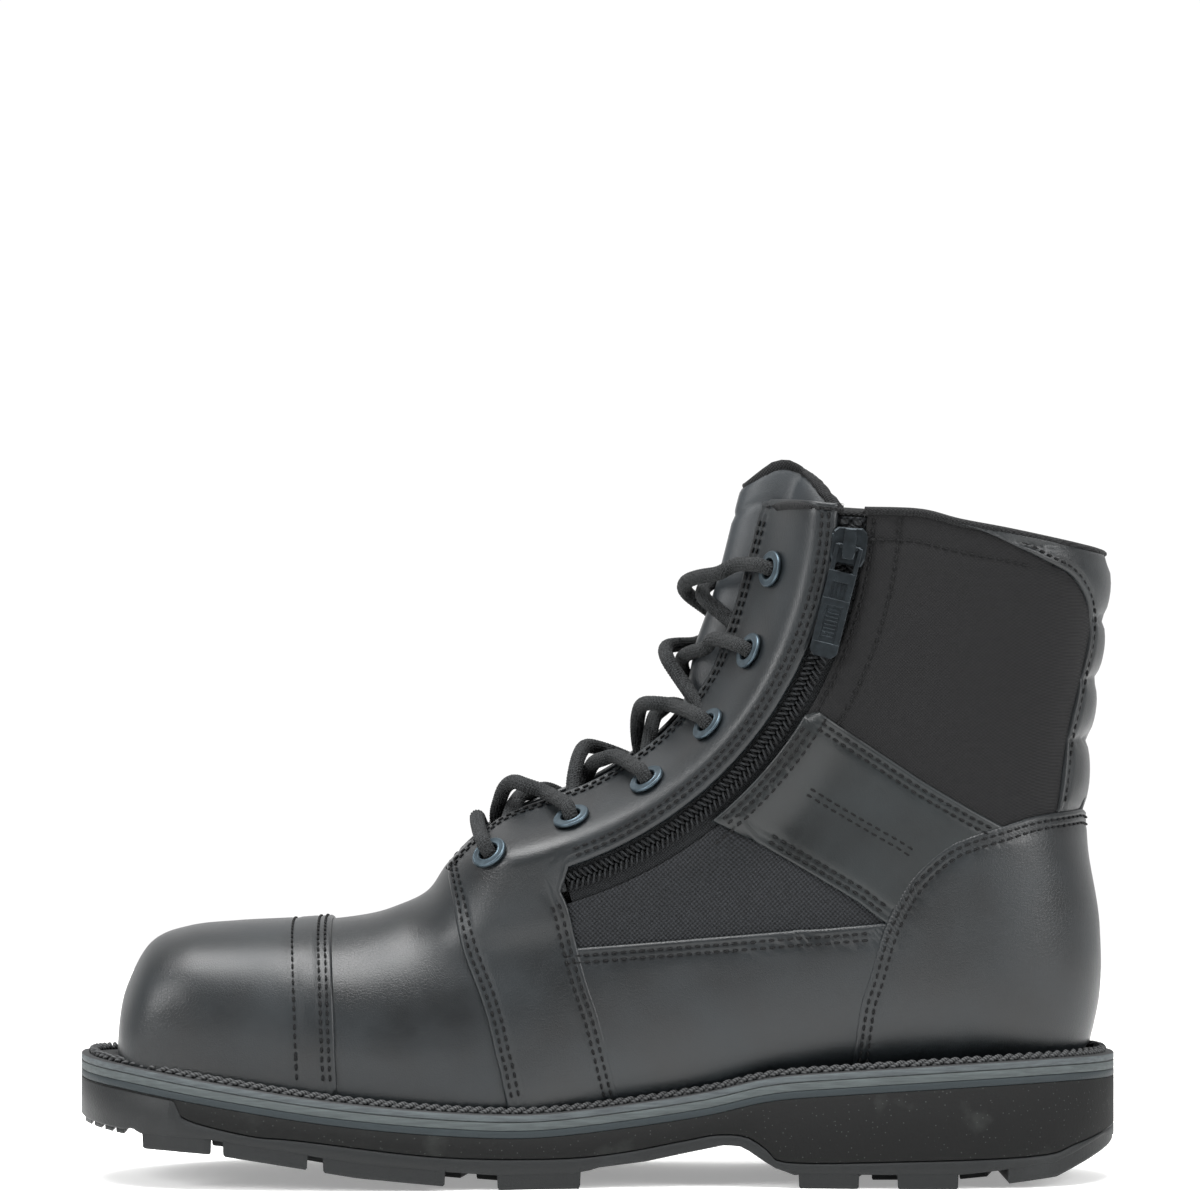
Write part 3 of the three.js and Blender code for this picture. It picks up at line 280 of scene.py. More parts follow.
# ---------------------------------------------------------------- vamp
# The front of the upper, between the toe overlay and the quarters: full-grain cowhide,
# chrome tanned and drum dyed, so it has fine pebbles, soft gloss and faint flex creases.
# It runs on under the toe overlay and the quarters, which are sewn down over it.
GRID_STATION, GRID_TURN = 0.085, 0.034     # spacing of the flat pattern, about 1.3 mm
EDGE_LOOPS = (0.3, 0.7, 1.3, 2.0, 2.7, 3.4, 4.1, 4.8)
STITCH_ROUND, STITCH_PITCH, STITCH_FILL = 0.38, 2.7, 0.64
SEAM_DEPTH, SEAM_WIDTH = 0.42, 0.7          # how far and how widely a seam pulls the leather in
SKIVED, SKIVE_WIDTH, FULL_AT = 0.55, 0.45, 7     # a panel's pared edge, and where it is full
stitches = []


def flat_pattern(path):
    """The upper unrolled round the toe tip, so that no panel is cut at a side."""
    radius = np.exp(TIP_SCALE * path[:, 0])
    return np.stack([radius * np.cos(path[:, 1]), radius * np.sin(path[:, 1])], 1)


def resample(path, spacing, height=0.0):
    """Stations and angles at even distances in space."""
    fine = np.concatenate([np.linspace(a, b, 12, endpoint=False) for a, b in zip(path[:-1], path[1:])]
                          + [path[-1:]])
    place = on_last(fine[:, 0], fine[:, 1], height)
    run = np.concatenate([[0], np.cumsum(np.linalg.norm(np.diff(place, axis=0), axis=1))])
    at = np.linspace(0, run[-1], max(2, int(run[-1] / spacing) + 1))
    return np.stack([np.interp(at, run, fine[:, k]) for k in (0, 1)], 1)


def slopes(path, height=0.0):
    step = 0.004
    ds = on_last(path[:, 0] + step, path[:, 1], height) - on_last(path[:, 0] - step, path[:, 1], height)
    da = on_last(path[:, 0], path[:, 1] + step, height) - on_last(path[:, 0], path[:, 1] - step, height)
    return ds / (2 * step), da / (2 * step)


def moved_inward(path, distance, closed=True, rounds=1):
    """A pattern line moved to its left by a distance in millimetres."""
    place = on_last(path[:, 0], path[:, 1])
    if closed:
        along = np.roll(place, -1, 0) - np.roll(place, 1, 0)
    else:
        along = np.gradient(place, axis=0)
    ds, da = slopes(path)
    normal = np.cross(ds, da)
    inward = np.cross(normal, along)
    inward /= np.linalg.norm(inward, axis=1)[:, None] + 1e-9
    target, moved = place + inward * distance, path
    for _ in range(rounds):
        miss = target - on_last(moved[:, 0], moved[:, 1])
        ds, da = slopes(moved)
        a, b, c = (ds * ds).sum(1) + 1e-4, (ds * da).sum(1), (da * da).sum(1) + 1e-4
        u, v = (ds * miss).sum(1), (da * miss).sum(1)
        det = a * c - b * b + 1e-6
        moved = moved + np.stack([(c * u - b * v) / det, (a * v - b * u) / det], 1)
    return moved


def distance_to(points, line, closed=False):
    """Distance of each point from a polyline in space."""
    ends = np.roll(line, -1, 0) if closed else line[1:]
    starts = line if closed else line[:-1]
    best = np.full(len(points), 1e9)
    for a, b in zip(starts, ends):
        run = b - a
        t = np.clip(((points - a) @ run) / (run @ run + 1e-12), 0, 1)
        best = np.minimum(best, ((points - a - t[:, None] * run) ** 2).sum(1))
    return np.sqrt(best)


def inside(points, loop):
    """Which flat points lie inside a closed flat loop."""
    x, y = points[:, 0], points[:, 1]
    result = np.zeros(len(points), bool)
    for (ax, ay), (bx, by) in zip(loop, np.roll(loop, -1, 0)):
        crosses = (ay > y) != (by > y)
        result ^= crosses & (x < (bx - ax) * (y - ay) / (by - ay + 1e-30) + ax)
    return result


def closed_solid(top, bottom, faces):
    """Vertices and faces of a sheet with a top, a bottom and a skirt along its open edge."""
    n = len(top)
    edges = {(face[i], face[(i + 1) % len(face)]) for face in faces for i in range(len(face))}
    walls = [(b, a, a + n, b + n) for a, b in edges if (b, a) not in edges]
    walls.sort()
    everything = [tuple(f) for f in faces] + [tuple(i + n for i in reversed(f)) for f in faces] + walls
    places = np.concatenate([top, bottom])
    middle = places.mean(0)
    volume = sum(np.dot(places[f[0]] - middle, np.cross(places[f[1]] - middle, places[f[2]] - middle))
                 for f in everything[:len(faces)])
    return places, everything if volume > 0 else [f[::-1] for f in everything]


def sew(path, distance, height, trim=2.2):
    """A row of stitches beside a pattern line."""
    row = moved_inward(resample(path, 1.0), distance, closed=False, rounds=6)
    row = resample(row, STITCH_PITCH, height)
    place = on_last(row[:, 0], row[:, 1], height)
    ends = max(1, int(trim / STITCH_PITCH))
    stitches.extend(zip(place[ends:-ends - 1], place[ends + 1:-ends]))


def panel(name, outline, height, thickness, material, extra=None, fullness=0.0):
    """A panel of the upper. The outline is a list of (path, distances of its stitch rows)."""
    loop, rows, seams = [], [], []
    joined = np.unwrap(np.concatenate([path for path, _ in outline])[:, 1])
    start = 0
    for path, row in outline:
        path = np.stack([path[:, 0], joined[start:start + len(path)]], 1)
        start += len(path)
        fine = resample(path, 1.2)
        loop.append(fine)
        rows.append(row)
    flat = flat_pattern(np.concatenate(loop))
    area = (flat[:, 0] * np.roll(flat[:, 1], -1) - flat[:, 1] * np.roll(flat[:, 0], -1)).sum()
    if area < 0:
        loop, rows = [fine[::-1] for fine in loop[::-1]], rows[::-1]
    for fine, row in zip(loop, rows):
        for distance in row:
            sew(fine, distance, height - 0.04 + fullness * (1 - math.exp(-(distance / FULL_AT) ** 2)))
        if row:
            seams.append((on_last(fine[:, 0], fine[:, 1]), row))
    rim = np.concatenate(loop)
    keep = np.linalg.norm(np.diff(np.concatenate([flat_pattern(rim), flat_pattern(rim[:1])]), axis=0), axis=1)
    rim = rim[keep > 1e-7]
    rim_flat, rim_place = flat_pattern(rim), on_last(rim[:, 0], rim[:, 1])
    low, high = rim[:, 0].min(), rim[:, 0].max()
    holds_tip = inside(np.array([[0.0, 0.0]]), rim_flat)[0]
    grid = []
    for s in np.arange(-5.5 if holds_tip else low, high, GRID_STATION):
        around = int(max(8, 2 * np.pi / GRID_TURN * min(1, math.exp(TIP_SCALE * s))))
        turns = np.arange(around) * 2 * np.pi / around + (0.5 * GRID_TURN if int(s / GRID_STATION) % 2 else 0)
        grid.append(np.stack([np.full(around, s), turns], 1))
    grid = np.concatenate(grid)
    grid = grid[inside(flat_pattern(grid), rim_flat)]
    away = distance_to(on_last(grid[:, 0], grid[:, 1]), rim_place, closed=True)
    points, depth = [rim, grid[away > 5.4]], [np.zeros(len(rim)), away[away > 5.4]]
    for distance in EDGE_LOOPS:
        ring = moved_inward(rim, distance)
        real = distance_to(on_last(ring[:, 0], ring[:, 1]), rim_place, closed=True)
        good = (real > 0.85 * distance) & inside(flat_pattern(ring), rim_flat)
        points.append(ring[good])
        depth.append(real[good])
    points, depth = np.concatenate(points), np.concatenate(depth)
    edges = [(i, (i + 1) % len(rim)) for i in range(len(rim))]
    made, _, faces, sources, _, _ = geometry.delaunay_2d_cdt(
        [Vector(p) for p in flat_pattern(points).tolist()], edges, [], 1, 1e-9)
    chosen = np.array([source[0] if source else 0 for source in sources])
    found = np.array([bool(source) for source in sources])
    made = np.array([tuple(p) for p in made])
    back = np.stack([np.log(np.hypot(made[:, 0], made[:, 1]) + 1e-12) / TIP_SCALE,
                     np.arctan2(made[:, 1], made[:, 0])], 1)
    points = np.where(found[:, None], points[chosen], back)
    depth = np.where(found, depth[chosen], 0.0)
    flat_place = on_last(points[:, 0], points[:, 1])
    up = height - SKIVED * np.exp(-(depth / SKIVE_WIDTH) ** 1.5)
    up = up + fullness * (1 - np.exp(-(depth / FULL_AT) ** 2))
    for line, row in seams:
        gap = distance_to(flat_place, line)
        for distance in row:
            up -= SEAM_DEPTH * np.exp(-((gap - distance) / SEAM_WIDTH) ** 2)
    if extra:
        up += extra(flat_place, depth)
    top = on_last(points[:, 0], points[:, 1], up)
    bottom = on_last(points[:, 0], points[:, 1], height - thickness)
    used = sorted({i for face in faces for i in face})
    number = {old: new for new, old in enumerate(used)}
    faces = [[number[i] for i in face] for face in faces]
    places, everything = closed_solid(top[used], bottom[used], faces)
    return mesh_object(name, places, everything, material)


def fasten(piece, slot, *replaced, body="boot"):
    """Lets a piece ride on a body, and hides the frame nodes that it replaces. Its slot is not used."""
    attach(piece, body)
    if replaced:
        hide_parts(*replaced)
    return piece


def ripple(place, depth):
    """The slight unevenness of leather drawn over a last."""
    x, y, z = place.T
    waves = 0.10 * np.sin(x / 9.1 + 0.8 * np.sin(z / 7.3)) * np.sin(y / 8.3 + z / 10.7)
    return waves * np.clip(depth / 6, 0, 1)


def patterned(name):
    """A blank material, its tree, and the object's own coordinates in it."""
    made, tree = blank_material(name)
    return made, tree, node(tree, "ShaderNodeTexCoord").outputs["Object"]


def noise(tree, place, size, detail):
    """Soft noise with lumps of about a size in millimetres."""
    made = node(tree, "ShaderNodeTexNoise", {"Vector": place}, Scale=1000 / size, Detail=detail)
    return made.outputs["Fac"]


def tones(tree, source, dark, light, low=0.0, high=1.0):
    """A ramp between two sRGB colours."""
    ramp = node(tree, "ShaderNodeValToRGB", {0: source})
    for end, position, colour in zip(ramp.color_ramp.elements, (low, high), (dark, light)):
        end.position, end.color = position, linear(colour)
    return ramp.outputs[0]


def blended(tree, share, dark, light):
    """Two colours, or a source and a colour, mixed by a share."""
    mix = node(tree, "ShaderNodeMixRGB", {0: share})
    for socket, colour in ((1, dark), (2, light)):
        if isinstance(colour, str):
            mix.inputs[socket].default_value = linear(colour)
        else:
            tree.links.new(colour, mix.inputs[socket])
    return mix.outputs[0]


def relief_of(tree, height, strength, depth):
    """A bump of a depth in millimetres."""
    made = node(tree, "ShaderNodeBump", {"Height": height}, Strength=strength, Distance=depth / 1000)
    return made.outputs[0]


def sums(tree, operation, first, second, third=None):
    """One step of arithmetic on sources or plain numbers."""
    made = node(tree, "ShaderNodeMath", operation=operation)
    for socket, value in enumerate((first, second, third)):
        if isinstance(value, (int, float)):
            made.inputs[socket].default_value = value
        elif value is not None:
            tree.links.new(value, made.inputs[socket])
    return made.outputs[0]


def grain_leather(name, dark, light, roughness, pebble=0.9, relief=0.35):
    """Drum-dyed full grain: pebbles in hollow creases, uneven dye and a thin waxed coat."""
    made, tree, place = patterned(name)
    cells = node(tree, "ShaderNodeTexVoronoi", {"Vector": place}, feature="DISTANCE_TO_EDGE",
                 Scale=1000 / pebble)
    pores = sums(tree, "MINIMUM", cells.outputs["Distance"], 0.12)
    grain = sums(tree, "MULTIPLY_ADD", pores, noise(tree, place, 0.45, 3.0), pores)
    cloud = noise(tree, place, 22, 4.0)
    gloss = node(tree, "ShaderNodeMapRange", {"Value": cloud}, From_Min=0.3, From_Max=0.7,
                 To_Min=roughness - 0.05, To_Max=roughness + 0.07)
    return shaded(made, {"Base Color": tones(tree, cloud, dark, light, 0.32, 0.72),
                         "Roughness": gloss.outputs[0], "Normal": relief_of(tree, grain, relief, 0.4)},
                  IOR=1.42, Coat_Weight=0.06, Coat_Roughness=0.3)


TOE_SEAM = [(-79.8, 84), (-77.6, 58), (-76, 18)]
QUARTER_FRONT = [(-46.5, 101), (-44.7, 93.5), (-42.5, 83.2), (-39.6, 69.6), (-32.2, 49.5), (-24.5, 14)]
TUCK = 1.2                       # the upper's lasted edge goes down behind the welt


def welt_path(x_from, x_to, side):
    x = np.linspace(x_from, x_to, max(3, int(abs(x_to - x_from) / 3)))
    return side_path(np.stack([x, welt_height(x) - TUCK], 1), side, smooth=False)


def down_to_welt(points, side, dx=0.0):
    """A side-view line from its top down to the tucked lower edge."""
    line = smooth_line(points, 6) + (dx, 0)
    above = line[:, 1] > welt_height(line[:, 0]) - TUCK
    return side_path(line[above], side, smooth=False)


def over_ridge(points, dx=0.0):
    """A seam that climbs the zip side, crosses the ridge and goes down the outer side."""
    up = down_to_welt(points, -1, dx)[::-1]
    down = down_to_welt(points, 1, dx)
    middle = (up[-1, 0] + down[0, 0]) / 2
    return np.concatenate([up, [[middle, np.pi]], down])


leather = grain_leather("drum_dyed_full_grain_cowhide", "090c0e", "12171a", 0.38)
VAMP_HEIGHT = -0.5


def flex(place, depth):
    """Walking creases across the vamp in front of the quarters."""
    x, y, z = place.T
    fold = np.sin((x + 0.18 * np.abs(y) + 62) / 2.9) * np.exp(-((x + 60) / 9.0) ** 2) * smoothstep(40, 66, z)
    return ripple(place, depth) + 0.16 * fold


vamp = panel("vamp_leather", [(over_ridge(TOE_SEAM, -8), ()), (welt_path(-84, -17, 1), ()),
                              (over_ridge(QUARTER_FRONT, 8)[::-1], ()), (welt_path(-17, -84, -1), ())],
             VAMP_HEIGHT, 1.8, leather, extra=flex)
fasten(vamp, "leather", "vamp")

# ---------------------------------------------------------------- toe overlay
# A second piece of the same hide over the front, lasted round the hard toe cap and sewn
# down behind it with two rows of thread, with a third row in front of them.
toe_overlay = panel("toe_overlay",
                    [(over_ridge(TOE_SEAM)[::-1], (1.8, 3.8, 11.5)), (welt_path(-76.3, -141.3, -1), ()),
                     (welt_path(-141.3, -76.3, 1), ())],
                    0.75, 1.7, leather, extra=ripple)
fasten(toe_overlay, "leather", "toe_leather")

# ---------------------------------------------------------------- eyestay quarters
# One large panel each side, from the welt in front of the zip up to the collar. Its front
# edge is sewn over the vamp, its throat edge is folded, and it carries the eyelets.
QUARTER_REAR = [(-10.9, 86.9), (-8.6, 81.6), (-6, 70.4), (-2.7, 59.2), (1.1, 47.2), (9, 14)]
EYESTAY_TOP = [(46, 199.7), (50.4, 202), (57.2, 202), (72, 200.6)]
ZIP_WINDOW = 4.2
sides = (("inner", -1), ("outer", 1))


def zip_arc(start, stop, off, count=24):
    """Side-view points along the zip, in degrees below level, off to its rear."""
    angle = np.radians(np.linspace(start, stop, count))
    radius = ZIP_RADIUS + off
    return np.stack([ZIP_X + radius * np.cos(angle), ZIP_Z - radius * np.sin(angle)], 1)


def throat_edge(side):
    """The folded edge beside the tongue, from the bottom of the throat to the collar."""
    s = np.linspace(8.9, 20.35, 30)
    open_turn = 0.20 + 0.14 * smoothstep(8.9, 12, s) + 0.05 * smoothstep(14, 21, s)
    turn = math.pi - open_turn * (1.0 if side < 0 else 0.9)
    return np.stack([s, turn if side < 0 else 2 * math.pi - turn], 1)


for side_name, side in sides:
    front = down_to_welt(QUARTER_FRONT[1:], side)
    rear = down_to_welt(QUARTER_REAR, side)
    top = side_path(EYESTAY_TOP, side)
    arc = side_path(zip_arc(1.0, 72, -ZIP_WINDOW), side, smooth=False)
    lower = welt_path(7.2, -27.2, side)
    quarter = panel("eyestay_quarter_" + side_name + "_leather",
                    [(front[::-1], (2.0, 4.1)), (throat_edge(side), (2.2, 4.2)), (top[4:], (2.2,)),
                     (arc, (2.0, 4.0)), (rear, (2.0, 4.1)), (lower, ())], 0.8, 1.6, leather, extra=ripple)
    fasten(quarter, "leather", "eyestay_quarter_" + side_name)

# ---------------------------------------------------------------- lower quarters
# The side panel behind each eyestay, between the sole and the mesh. Its top edge is sewn
# over the mesh, and its ends are tucked under the quarter and the heel cover.
for side_name, side in sides:
    front = down_to_welt(QUARTER_REAR[2:], side, -7)
    top = side_path([(-13, 69.8), (40, 74), (82, 77.3)], side)
    heel = side_path([(82, 77.3), (92, 78), (88, 60), (86, 45), (84, 36)], side)
    lower = welt_path(84, 1, side)
    piece = panel("lower_quarter_" + side_name + "_leather",
                  [(front[::-1], ()), (top, (2.3, 4.3)), (heel, ()), (lower, ())],
                  0.45, 1.7, leather, extra=ripple)
    fasten(piece, "leather", "lower_quarter_" + side_name)

# ---------------------------------------------------------------- textile side panels
# Padded polyester mesh below the strap and plain weave above it, both laid over foam, so
# they stand a little full between their seams. Yarns are about half a millimetre apart.
def woven_cloth(name, dark, light, yarn, relief, roughness=0.9):
    """Over-and-under yarns seen side on, with a dull fuzz. The colour follows the weave's relief: painted
    shade in the hollows between yarns, painted light on their crowns, and uneven dye from the noise.
    """
    made, tree, place = patterned(name)
    split = node(tree, "ShaderNodeSeparateXYZ", {0: place}).outputs
    waves = [sums(tree, "SINE", sums(tree, "MULTIPLY", source, math.pi * 1000 / yarn), None)
             for source in (sums(tree, "SUBTRACT", split[0], split[1]), split[2])]
    height = sums(tree, "ADD", sums(tree, "MULTIPLY", *waves), noise(tree, place, 1.7, 4.0))
    # Painted shade and light: the colour ramp is dark where the weave dips and light on the yarn crowns; the
    # noise in it is uneven dye.
    shade = node(tree, "ShaderNodeMapRange", {"Value": height}, From_Min=-0.4, From_Max=1.4)
    return shaded(made, {"Base Color": tones(tree, shade.outputs[0], dark, light),
                         "Normal": relief_of(tree, height, relief, 0.4)},
                  IOR=1.3, Roughness=roughness, Sheen_Weight=0.03, Sheen_Roughness=0.5)


mesh_cloth = woven_cloth("knitted_polyester_mesh", "0a0b0c", "232528", 0.72, 0.7)
plain_cloth = woven_cloth("plain_weave_polyester", "0c0c0d", "161617", 0.5, 0.22)
STRAP_UPPER = [(64.5, 139.8), (94.4, 119.8), (118.9, 105.9)]
BACKSTAY_EDGE = [(106, 194.7), (115.4, 191.8), (132.3, 183.6), (140.9, 178.3),
                 (146, 166.8), (143, 149), (139, 132), (136, 110)]
for side_name, side in sides:
    off = ZIP_WINDOW if side < 0 else -ZIP_WINDOW - 6
    arc = zip_arc(74, 50, off + 1.4 if side < 0 else off)
    bottom = [(-14, 67.2), (40, 71), (86, 74.5), (92, 76)]
    outline = [(side_path([(92, 76), (76, 92), (52, 107)], side, smooth=False), ()),
               (side_path(arc[::-1], side, smooth=False), ()),
               (side_path([(-17, 84), (-14, 67.2)], side, smooth=False), ()), (side_path(bottom, side), ())]
    piece = panel("mesh_panel_" + side_name + "_cloth", outline, -0.9, 1.3, mesh_cloth, fullness=0.8)
    fasten(piece, "textile", "mesh_panel_" + side_name)
    lower = side_path([(60, 137), (92, 114), (117, 98), (136, 104)], side, smooth=False)
    back = side_path([(139.3, 112), (142.3, 132), (146.3, 149), (149, 167), (143.5, 181.5), (134, 187.2)],
                     side)
    top = side_path([(131, 189.3), (120.6, 192), (106, 194.7), (94.3, 197.6), (76.5, 198.2)], side)
    outline = [(lower, ()), (back, ()), (top, (8.0,)),
               (side_path(zip_arc(1.5, 32, off), side, smooth=False), ((2.2, 10.0) if side < 0 else ()))]
    piece = panel("collar_panel_" + side_name + "_cloth", outline, -0.6, 1.4, plain_cloth, fullness=0.7)
    fasten(piece, "textile", "collar_panel_" + side_name)

# ---------------------------------------------------------------- ankle straps
# A band of the smoother split leather from the zip to the heel cover, sewn along both
# edges and down its middle, with a row of thread behind the zip.
strap_leather = grain_leather("corrected_grain_cowhide", "080b0c", "101618", 0.40, pebble=0.7, relief=0.22)
for side_name, side in sides:
    off = ZIP_WINDOW if side < 0 else -ZIP_WINDOW - 6
    upper = side_path(STRAP_UPPER, side, smooth=False)
    lower = side_path([(84.7, 77.5), (46.6, 101.2)], side, smooth=False)
    front = side_path(zip_arc(51, 31.5, off, 12), side, smooth=False)
    tail = side_path([(118.9, 105.9), (130, 99.5), (130, 88), (92, 73), (84.7, 77.5)], side, smooth=False)
    piece = panel("ankle_strap_" + side_name + "_leather",
                  [(upper, (2.2, 4.2)), (tail, ()), (lower, (2.2, 4.2)),
                   (front, ((2.0, 4.0) if side < 0 else ()))],
                  0.6, 1.65, strap_leather, extra=ripple)
    fasten(piece, "strap_leather", "ankle_strap_" + side_name)
    middle = side_path([(59.4, 117.6), (94.4, 96.6)], side, smooth=False)
    for across in (-1.0, 1.0):
        sew(middle, across, 0.62)
    if side < 0:
        sew(side_path(zip_arc(29, 54, 10.5), side, smooth=False), 0.0, 0.62)

# ---------------------------------------------------------------- heel cover
# One moulded piece of the hide round the back of the heel, over the stiffener. Its edge is
# sewn down twice over the quarters and the ankle straps.
HEEL_EDGE = [(73, 20), (76.5, 50.7), (79.5, 61.3), (82.9, 73.1), (86.2, 81.4), (92.3, 91.2),
             (101.2, 99.4), (108.9, 103), (118.9, 105.9), (129.3, 108.8), (143.5, 110.4)]
heel_sides = {}
for side_name, side in sides:
    line = smooth_line(HEEL_EDGE, 6)
    line = line[line[:, 1] > welt_height(line[:, 0]) - TUCK]
    heel_sides[side] = side_path(line, side, smooth=False)
heel_top = np.concatenate([heel_sides[-1], heel_sides[1][::-1] - (0, 2 * math.pi)])
heel = panel("heel_cover_leather", [(heel_top, (2.0, 4.1)),
                                    (welt_path(74.5, 141.5, 1), ()), (welt_path(141.5, 74.5, -1), ())],
             0.95, 1.6, leather, extra=ripple)
fasten(heel, "leather", "heel_cover")

# ---------------------------------------------------------------- quilted backstay
# Soft hide over foam down the back of the shaft, sewn across in three places, so that it
# stands out in rolls and lets the ankle bend.
QUILT_SEAMS = (131.0, 148.7, 166.7)


def quilting(place, depth):
    """Full rolls between the cross seams, dying out at the side seams."""
    z = place[:, 2]
    joints = (110.0,) + QUILT_SEAMS + (188.0,)
    puff = np.zeros(len(z))
    for low, high in zip(joints[:-1], joints[1:]):
        t = np.clip((z - low) / (high - low), 0, 1)
        puff = np.maximum(puff, (4 * t * (1 - t)) ** 0.42)
    reach = np.clip(depth / 9, 0, 1) ** 0.5
    wrinkle = 0.12 * np.sin(z * 1.9 + 0.25 * place[:, 1]) * (1 - puff)
    return (3.4 * puff - 2.4) * reach + wrinkle


backstay_sides, backstay_tips = {}, {}
for _, side in sides:
    line = smooth_line(BACKSTAY_EDGE, 6)
    split = int(np.searchsorted(line[:, 0], 122))
    backstay_tips[side] = side_path(line[:split + 1], side, smooth=False)
    backstay_sides[side] = side_path(line[split:], side, smooth=False)
top_edge = [(106, 194.7), (120.6, 192), (136, 189), (150, 186)]
foot_edge = [(136, 109), (143, 108)]
backstay = panel("quilted_backstay_pad",
                 [(backstay_sides[-1][::-1], (1.8,)), (backstay_tips[-1][::-1], ()),
                  (side_path(top_edge, -1), ()), (side_path(top_edge, 1)[::-1], ()), (backstay_tips[1], ()),
                  (backstay_sides[1], (1.8,)), (side_path(foot_edge, 1), ()),
                  (side_path(foot_edge[::-1], -1), ())],
                 0.9, 2.9, leather, extra=quilting)
fasten(backstay, "leather", "quilted_backstay")
for z in QUILT_SEAMS:
    row = np.array([(142.0, z), (150.5, z)])
    for _, side in sides:
        sew(side_path(row, side, smooth=False), 0.0, -1.5, trim=0)

# ---------------------------------------------------------------- seam thread
# Bonded nylon, about 0.7 mm thick, which shows as a row of short raised lozenges that pull
# the leather down between them.
def ring_faces(rings, size, capped=True):
    """Quads between successive rings of points, and a cap on each end."""
    faces = [(r * size + k, r * size + (k + 1) % size, (r + 1) * size + (k + 1) % size, (r + 1) * size + k)
             for r in range(rings - 1) for k in range(size)]
    caps = [tuple(range(size - 1, -1, -1)), tuple(range((rings - 1) * size, rings * size))]
    return faces + (caps if capped else [])


def gather_stitches(name, pairs, radius, fill, material):
    """All stitches as round-ended rods in one mesh."""
    starts = np.array([a for a, _ in pairs])
    ends = np.array([b for _, b in pairs])
    along = ends - starts
    length = np.linalg.norm(along, axis=1)[:, None]
    along /= length + 1e-9
    up = np.cross(along, np.tile([0.13, 0.2, 0.97], (len(pairs), 1)))
    up /= np.linalg.norm(up, axis=1)[:, None] + 1e-9
    over = np.cross(along, up)
    rings = []
    for t, width in ((-1.0, 0.35), (-0.72, 0.85), (0.0, 1.0), (0.72, 0.85), (1.0, 0.35)):
        middle = (starts + ends) / 2 + along * length * fill * t / 2
        for k in range(6):
            a = k * math.pi / 3
            rings.append(middle + radius * width * (math.cos(a) * up + math.sin(a) * over))
    places = np.stack(rings, 1).reshape(-1, 3)
    faces = [tuple(30 * n + i for i in face) for n in range(len(pairs)) for face in ring_faces(5, 6)]
    return mesh_object(name, places, faces, material)


def spun_thread(name, dark, light, twist):
    """Bonded nylon with a slight twist. The waxy shine is a painted highlight: the ply crowns are coloured
    light, and the grooves between them dark as painted shade.
    """
    made, tree, place = patterned(name)
    plies = node(tree, "ShaderNodeTexWave", {"Vector": place}, bands_direction="DIAGONAL",
                 Scale=1000 / twist / 3, Distortion=1.0).outputs["Fac"]
    # Painted highlight and shade: the colour is light on the ply crowns and dark in the grooves between them.
    return shaded(made, {"Base Color": blended(tree, plies, dark, light),
                         "Normal": relief_of(tree, plies, 0.5, 0.2)}, Roughness=0.75, IOR=1.3)


seam_thread = spun_thread("bonded_nylon_thread", "040405", "0b0c0d", 0.5)
upper_stitching = gather_stitches("upper_stitching", stitches, STITCH_ROUND, STITCH_FILL, seam_thread)
fasten(upper_stitching, "thread")

# ---------------------------------------------------------------- collar binding
# Dark woven tape folded over the top edge of the shaft and sewn through, which closes the
# foam between the outer panels and the lining. One strip runs from the zip round the back
# to the outer eyestay, and a short one lies behind the top of the inner eyestay.
def tube_faces(count, size, closed):
    """Quads along a tube of rings, which is closed on itself or has a cap on each end."""
    faces = [(i * size + k, (i + 1) % count * size + k, (i + 1) % count * size + (k + 1) % size,
              i * size + (k + 1) % size) for i in range(count if closed else count - 1) for k in range(size)]
    return faces if closed else faces + ring_faces(count, size)[-2:]


def sweep(name, centres, normals, profile, material, closed=False):
    """A section carried along a line. The profile is (across, along the normal) pairs."""
    centres, normals = np.asarray(centres, float), np.asarray(normals, float)
    if closed:
        along = np.roll(centres, -1, 0) - np.roll(centres, 1, 0)
    else:
        along = np.gradient(centres, axis=0)
    along /= np.linalg.norm(along, axis=1)[:, None] + 1e-9
    across = np.cross(along, normals)
    across /= np.linalg.norm(across, axis=1)[:, None] + 1e-9
    normals = np.cross(across, along)
    rings = [centres + across * a + normals * b for a, b in profile]
    places = np.stack(rings, 1).reshape(-1, 3)
    return mesh_object(name, places, tube_faces(len(centres), len(profile), closed), material)


def oval(across, depth, count=14):
    """A rounded section, wider than it is deep."""
    turns = np.arange(count) * 2 * math.pi / count
    return [(across * math.cos(a), depth * math.sin(a)) for a in -turns]


binding_cloth = woven_cloth("woven_binding_tape", "0c0c0d", "1c1d1e", 0.55, 0.5)
COLLAR_DEPTH = -2.9              # the middle of the padded wall
BINDING_LINE = [(94.3, 198.0), (106, 195.1), (120.6, 192.4), (136, 189.3), (149.0, 186.6)]
zip_side = side_path([(77.2, 198.6)] + BINDING_LINE, -1)
far_side = side_path([(52.5, 199.8), (57.2, 200.2), (72, 199.6)] + BINDING_LINE, 1)[::-1] - (0, 2 * math.pi)
before_zip = side_path([(52.5, 199.6), (57.2, 200.0), (70.5, 199.0)], -1)
for name, path in (("collar_binding", np.concatenate([zip_side, far_side])),
                   ("eyestay_top_binding", before_zip)):
    path = resample(path, 2.0)
    centres = on_last(path[:, 0], path[:, 1], COLLAR_DEPTH)
    outward = on_last(path[:, 0], path[:, 1], 2.0) - centres
    outward /= np.linalg.norm(outward, axis=1)[:, None]
    piece = sweep(name, centres + (0, 0, 0.2), outward, oval(1.5, 3.5), binding_cloth)
    fasten(piece, "textile")

